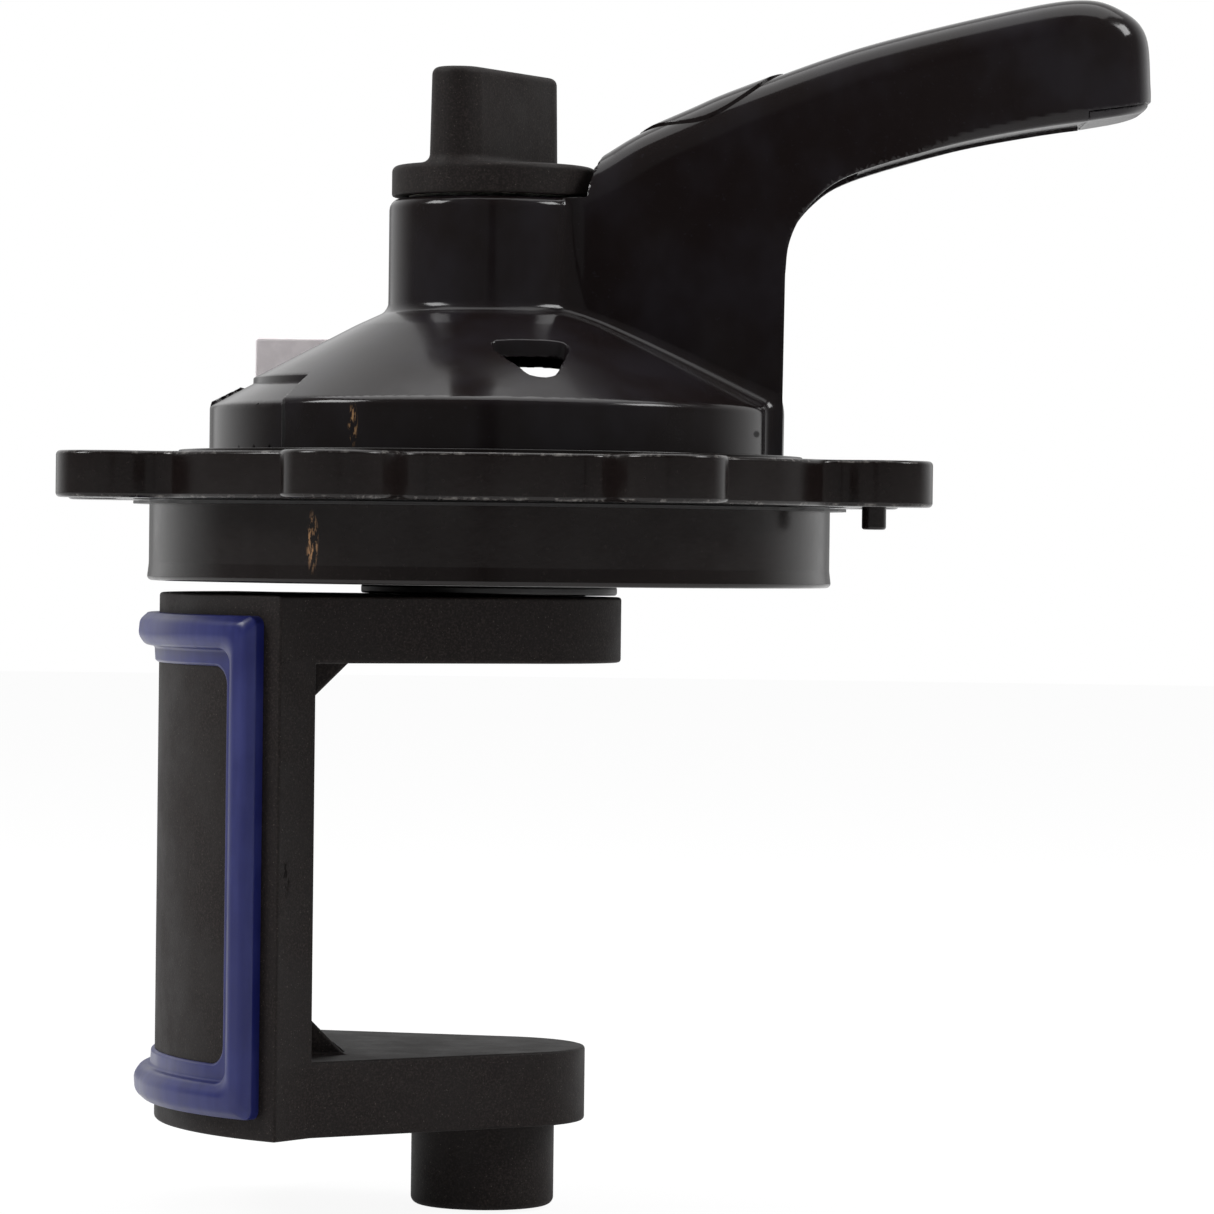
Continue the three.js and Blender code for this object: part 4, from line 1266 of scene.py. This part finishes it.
def makeShaft(s):
    radius, half, depth = s["radius"], s["ringHalfHeight"], s["ringDepth"]
    profile = [(0, s["bottom"]), (radius, s["bottom"])]
    for middle in s["ringGrooves"]:
        profile += [(radius, middle - half, 0.2), (radius - depth, middle - half, 0.3),
                    (radius - depth, middle + half, 0.3), (radius, middle + half, 0.2)]
    low, high = s["clipGroove"]
    profile += [(radius, low, 0.1), (radius - s["clipDepth"], low),
                (radius - s["clipDepth"], high), (radius, high, 0.1),
                (radius, s["top"], s["topEdge"]), (0, s["top"])]
    body = outward(looseMesh("shaft", *turnedSkin(roundCorners(profile, 20), 96)))
    notch, tools = s["notch"], []
    for side in (-1, 1):
        inner, outer, wide = notch["inner"] * side, notch["outer"] * side, notch["halfWidth"]
        outline = [(inner, -wide), (outer, -wide), (outer, wide), (inner, wide)][::side]
        tools.append(looseMesh(f"notch{side}", *prism(outline, notch["bottom"], s["cutTo"])))
    tools.append(looseMesh("pocket", *turnedSkin(
        [(0, s["pocketBottom"]), (s["pocketRadius"], s["pocketBottom"]),
         (s["pocketRadius"], s["cutTo"]), (0, s["cutTo"])], 64)))
    combined(body, [outward(tool) for tool in tools], "DIFFERENCE")
    return takenApart(body)


makeDiverter(diverter)
print("diverter made")

# Port seal: one section swept round the port, between an inner and an outer rail, and wrapped
# on the gate.

portSeal = {
    "width": 8.7,
    "side": 3.7,
    "top": 3.5,
    "bottom": 3.6,
    "innerCorner": 3.6,
    "outerCorner": 1.6,
    "seat": 1.3,
    "cornerSteps": 10,
    "sideSteps": 62,
}
# Across from the inner to the outer side as a share of the half width, height off the face,
# and how round the corner is.
sealSection = [(-1, 0.2, 0.3), (-0.92, 0.65, 0.4), (-0.36, 0.8, 0.6), (-0.3, 2.5, 1.4),
               (0.08, 3.68, 2.2), (0.7, 3.45, 1.8), (1, 2.0, 0.6)]


def newTree(name, inputs):
    # A tree with these inputs, listed by kind of socket. Returns it, its nodes and its inputs.
    tree = bpy.data.node_groups.new(name, "GeometryNodeTree")
    tree.is_modifier = True
    for kind, labels in inputs.items():
        for label in labels:
            tree.interface.new_socket(label, in_out="INPUT", socket_type="NodeSocket" + kind)
    tree.interface.new_socket("Geometry", in_out="OUTPUT", socket_type="NodeSocketGeometry")
    n = Nodes(tree)
    return tree, n, n.add("NodeGroupInput").outputs


def finishTree(n, geometrySocket, finish):
    smooth = n.out("GeometryNodeSetShadeSmooth", Geometry=geometrySocket)
    real = n.out("GeometryNodeRealizeInstances", Geometry=smooth)
    painted = n.out("GeometryNodeSetMaterial", Geometry=real, Material=finish)
    n.feed(n.add("NodeGroupOutput").inputs[0], painted)


def grown(piece, tree, values):
    # Runs the tree on the piece with these inputs, and leaves the result as a plain mesh.
    modifier = piece.modifiers.new(tree.name, "NODES")
    modifier.node_group = tree
    for item in tree.interface.items_tree:
        if item.item_type == "SOCKET" and item.in_out == "INPUT" and item.name in values:
            modifier[item.identifier] = values[item.name]
    return flattened(piece)


def railTree():
    # The object's own mesh is the section: x runs from the inner to the outer rail as -1 to 1,
    # y is the height. Each point of it runs round a rounded rectangle of its own, and the sheet
    # that they make is rolled onto a cylinder about the Z axis.
    tree, n, given = newTree("sweepBetweenRails", {
        "Geometry": ["Section"],
        "Int": ["Section Points", "Corner Steps", "Side Steps"],
        "Float": ["Half Length", "Half Height", "Half Width", "Inner Corner", "Outer Corner",
                  "Middle", "Radius", "Turn"],
        "Material": ["Finish"],
    })

    def whole(value, size):
        return n.math("FLOOR", n.over(n.plus(value, 0.5), size))

    # A flat sheet of stations by section points gives the faces; every point is then placed.
    quarter = n.plus(given["Corner Steps"], given["Side Steps"])
    row = n.plus(given["Section Points"], 1)
    sheet = n.add("GeometryNodeMeshGrid")
    n.feed(sheet.inputs["Vertices X"], n.math("MULTIPLY_ADD", quarter, 4, 1))
    n.feed(sheet.inputs["Vertices Y"], row)
    index = n.out("GeometryNodeInputIndex")
    station = whole(index, row)
    place = n.math("FLOORED_MODULO", n.math("FLOORED_MODULO", index, row), given["Section Points"])
    sample = n.out("GeometryNodeSampleIndex", data_type="FLOAT_VECTOR", Geometry=given["Section"],
                   Value=n.out("GeometryNodeInputPosition"), Index=place)
    across, height, _ = n.add("ShaderNodeSeparateXYZ", Vector=sample).outputs
    share = n.over(across, mm)

    # Where this station is: which side, how far round its corner, how far along its straight.
    side = whole(station, quarter)
    step = n.math("FLOORED_MODULO", station, quarter)
    bend = n.over(n.math("MINIMUM", step, given["Corner Steps"]), given["Corner Steps"])
    past = n.larger(n.math("SUBTRACT", step, given["Corner Steps"]), 0.0)
    run = n.over(past, given["Side Steps"])
    heading = n.times(n.plus(side, bend), pi / 2)
    wider = n.math("SUBTRACT", given["Outer Corner"], given["Inner Corner"])
    corner = n.plus(given["Inner Corner"],
                    n.times(wider, n.math("MULTIPLY_ADD", share, 0.5, 0.5)))
    grow = n.math("SUBTRACT", n.times(given["Half Width"], share), corner)

    def along(wave, half):
        def sign(ahead):
            diagonal = n.times(n.plus(side, 0.5 + ahead), pi / 2)
            return n.math("SIGN", n.math(wave, diagonal))
        here, following = sign(0), sign(1)
        blend = n.plus(here, n.times(run, n.math("SUBTRACT", following, here)))
        straight = n.times(blend, n.plus(given[half], grow))
        return n.plus(straight, n.times(corner, n.math(wave, heading)))

    angle = n.plus(n.over(along("COSINE", "Half Length"), given["Radius"]), given["Turn"])
    reach = n.plus(height, given["Radius"])
    rolled = n.out("ShaderNodeCombineXYZ", X=n.times(reach, n.math("COSINE", angle)),
                   Y=n.times(reach, n.math("SINE", angle)),
                   Z=n.plus(along("SINE", "Half Height"), given["Middle"]))
    wrapped = n.out("GeometryNodeSetPosition", Geometry=sheet.outputs[0], Position=rolled)
    closed = n.out("GeometryNodeMergeByDistance", Geometry=wrapped, Distance=0.00001)
    finishTree(n, closed, given["Finish"])
    return tree


def makeSeal(s, d):
    # The section is across and up; its width sets how far apart the rails are.
    half = s["width"] / 2
    outline = roundCorners([(-half, -s["seat"]),
                            *((a * half, b, c) for a, b, c in sealSection),
                            (half, -s["seat"])], 12)
    size = len(outline)
    section = looseMesh("portSeal", [(across / half, up, 0) for across, up in outline], [],
                        [(k, (k + 1) % size) for k in range(size)])
    bottom, top = d["pivotLength"] + s["bottom"], d["gateTop"] - s["top"]
    reach = d["gateOuter"] * radians(d["halfAngle"])
    piece = outward(grown(section, railTree(), {
        "Section Points": size,
        "Corner Steps": s["cornerSteps"],
        "Side Steps": s["sideSteps"],
        "Half Length": (reach - s["side"] - half) * mm,
        "Half Height": (top - bottom - s["width"]) / 2 * mm,
        "Half Width": half * mm,
        "Middle": (bottom + top) / 2 * mm,
        "Inner Corner": s["innerCorner"] * mm,
        "Outer Corner": s["outerCorner"] * mm,
        "Radius": d["gateOuter"] * mm,
        "Turn": radians(180 + d["turn"]),
        "Finish": finishes["seal_blue"],
    }))
    crispShading(piece, 55)
    finishPiece(piece, "valve", ["port_seal"])


makeSeal(portSeal, diverter)
print("port seal made")

# Thrust washer, position tab and lid ribs.

washer = {"inner": 17.3, "outer": 22.6, "bottom": 107.7, "top": 109.2, "edge": 0.4}
tab = {"low": (-44.6, 45.6, 128.7), "high": (-30.4, 48.0, 154.1), "corner": 0.7, "edge": 0.35}
ribs = {"count": 8, "first": 3.2, "inner": 24.8, "outer": 56.2, "bottom": 111.5, "top": 124.2,
        "thickness": 2.4, "edge": 0.6}


def makeWasher(s):
    skin = turnedSkin(ringOutline(s["outer"], s["inner"], s["bottom"], s["top"], s["edge"]))
    crispShading(addPiece("thrustWasher", *skin, "soft_black", "valve", ["thrust_washer"]))


def makeTab(s):
    (x0, y0, z0), (x1, y1, z1) = s["low"], s["high"]
    outline = roundCorners([(x0, z0), (x1, z0), (x1, z1, s["corner"]), (x0, z1, s["corner"])])
    points, faces, _ = plateSkin([outline], -y1, -y0, s["edge"])
    points = [(x, -w, z) for x, z, w in points]
    crispShading(outward(addPiece("positionTab", points, faces, "tab_grey", "lid",
                                  ["position_tab"])))


def ribTree():
    # The object's own mesh is one rib; copies of it stand round the Z axis.
    tree, n, given = newTree("ribsRoundAxis", {
        "Geometry": ["Rib"], "Int": ["Count"], "Float": ["First Angle"], "Material": ["Finish"]})
    spots = n.out("GeometryNodePoints", Count=given["Count"])
    pitch = n.over(2 * pi, given["Count"])
    angle = n.math("MULTIPLY_ADD", n.out("GeometryNodeInputIndex"), pitch, given["First Angle"])
    turn = n.out("ShaderNodeCombineXYZ", Z=angle)
    copies = n.out("GeometryNodeInstanceOnPoints", Points=spots, Instance=given["Rib"],
                   Rotation=turn)
    finishTree(n, copies, given["Finish"])
    return tree


def makeRibs(s):
    half = s["thickness"] / 2
    outline = [(s["inner"], -half), (s["outer"], -half), (s["outer"], half), (s["inner"], half)]
    points, faces, _ = plateSkin([outline], s["bottom"], s["top"], s["edge"])
    piece = grown(looseMesh("lidRibs", points, faces), ribTree(), {
        "Count": s["count"], "First Angle": radians(s["first"]),
        "Finish": finishes["satin_black"]})
    crispShading(piece)
    finishPiece(piece, "lid")


makeWasher(washer)
makeTab(tab)
makeRibs(ribs)
print("washer, tab and ribs made")
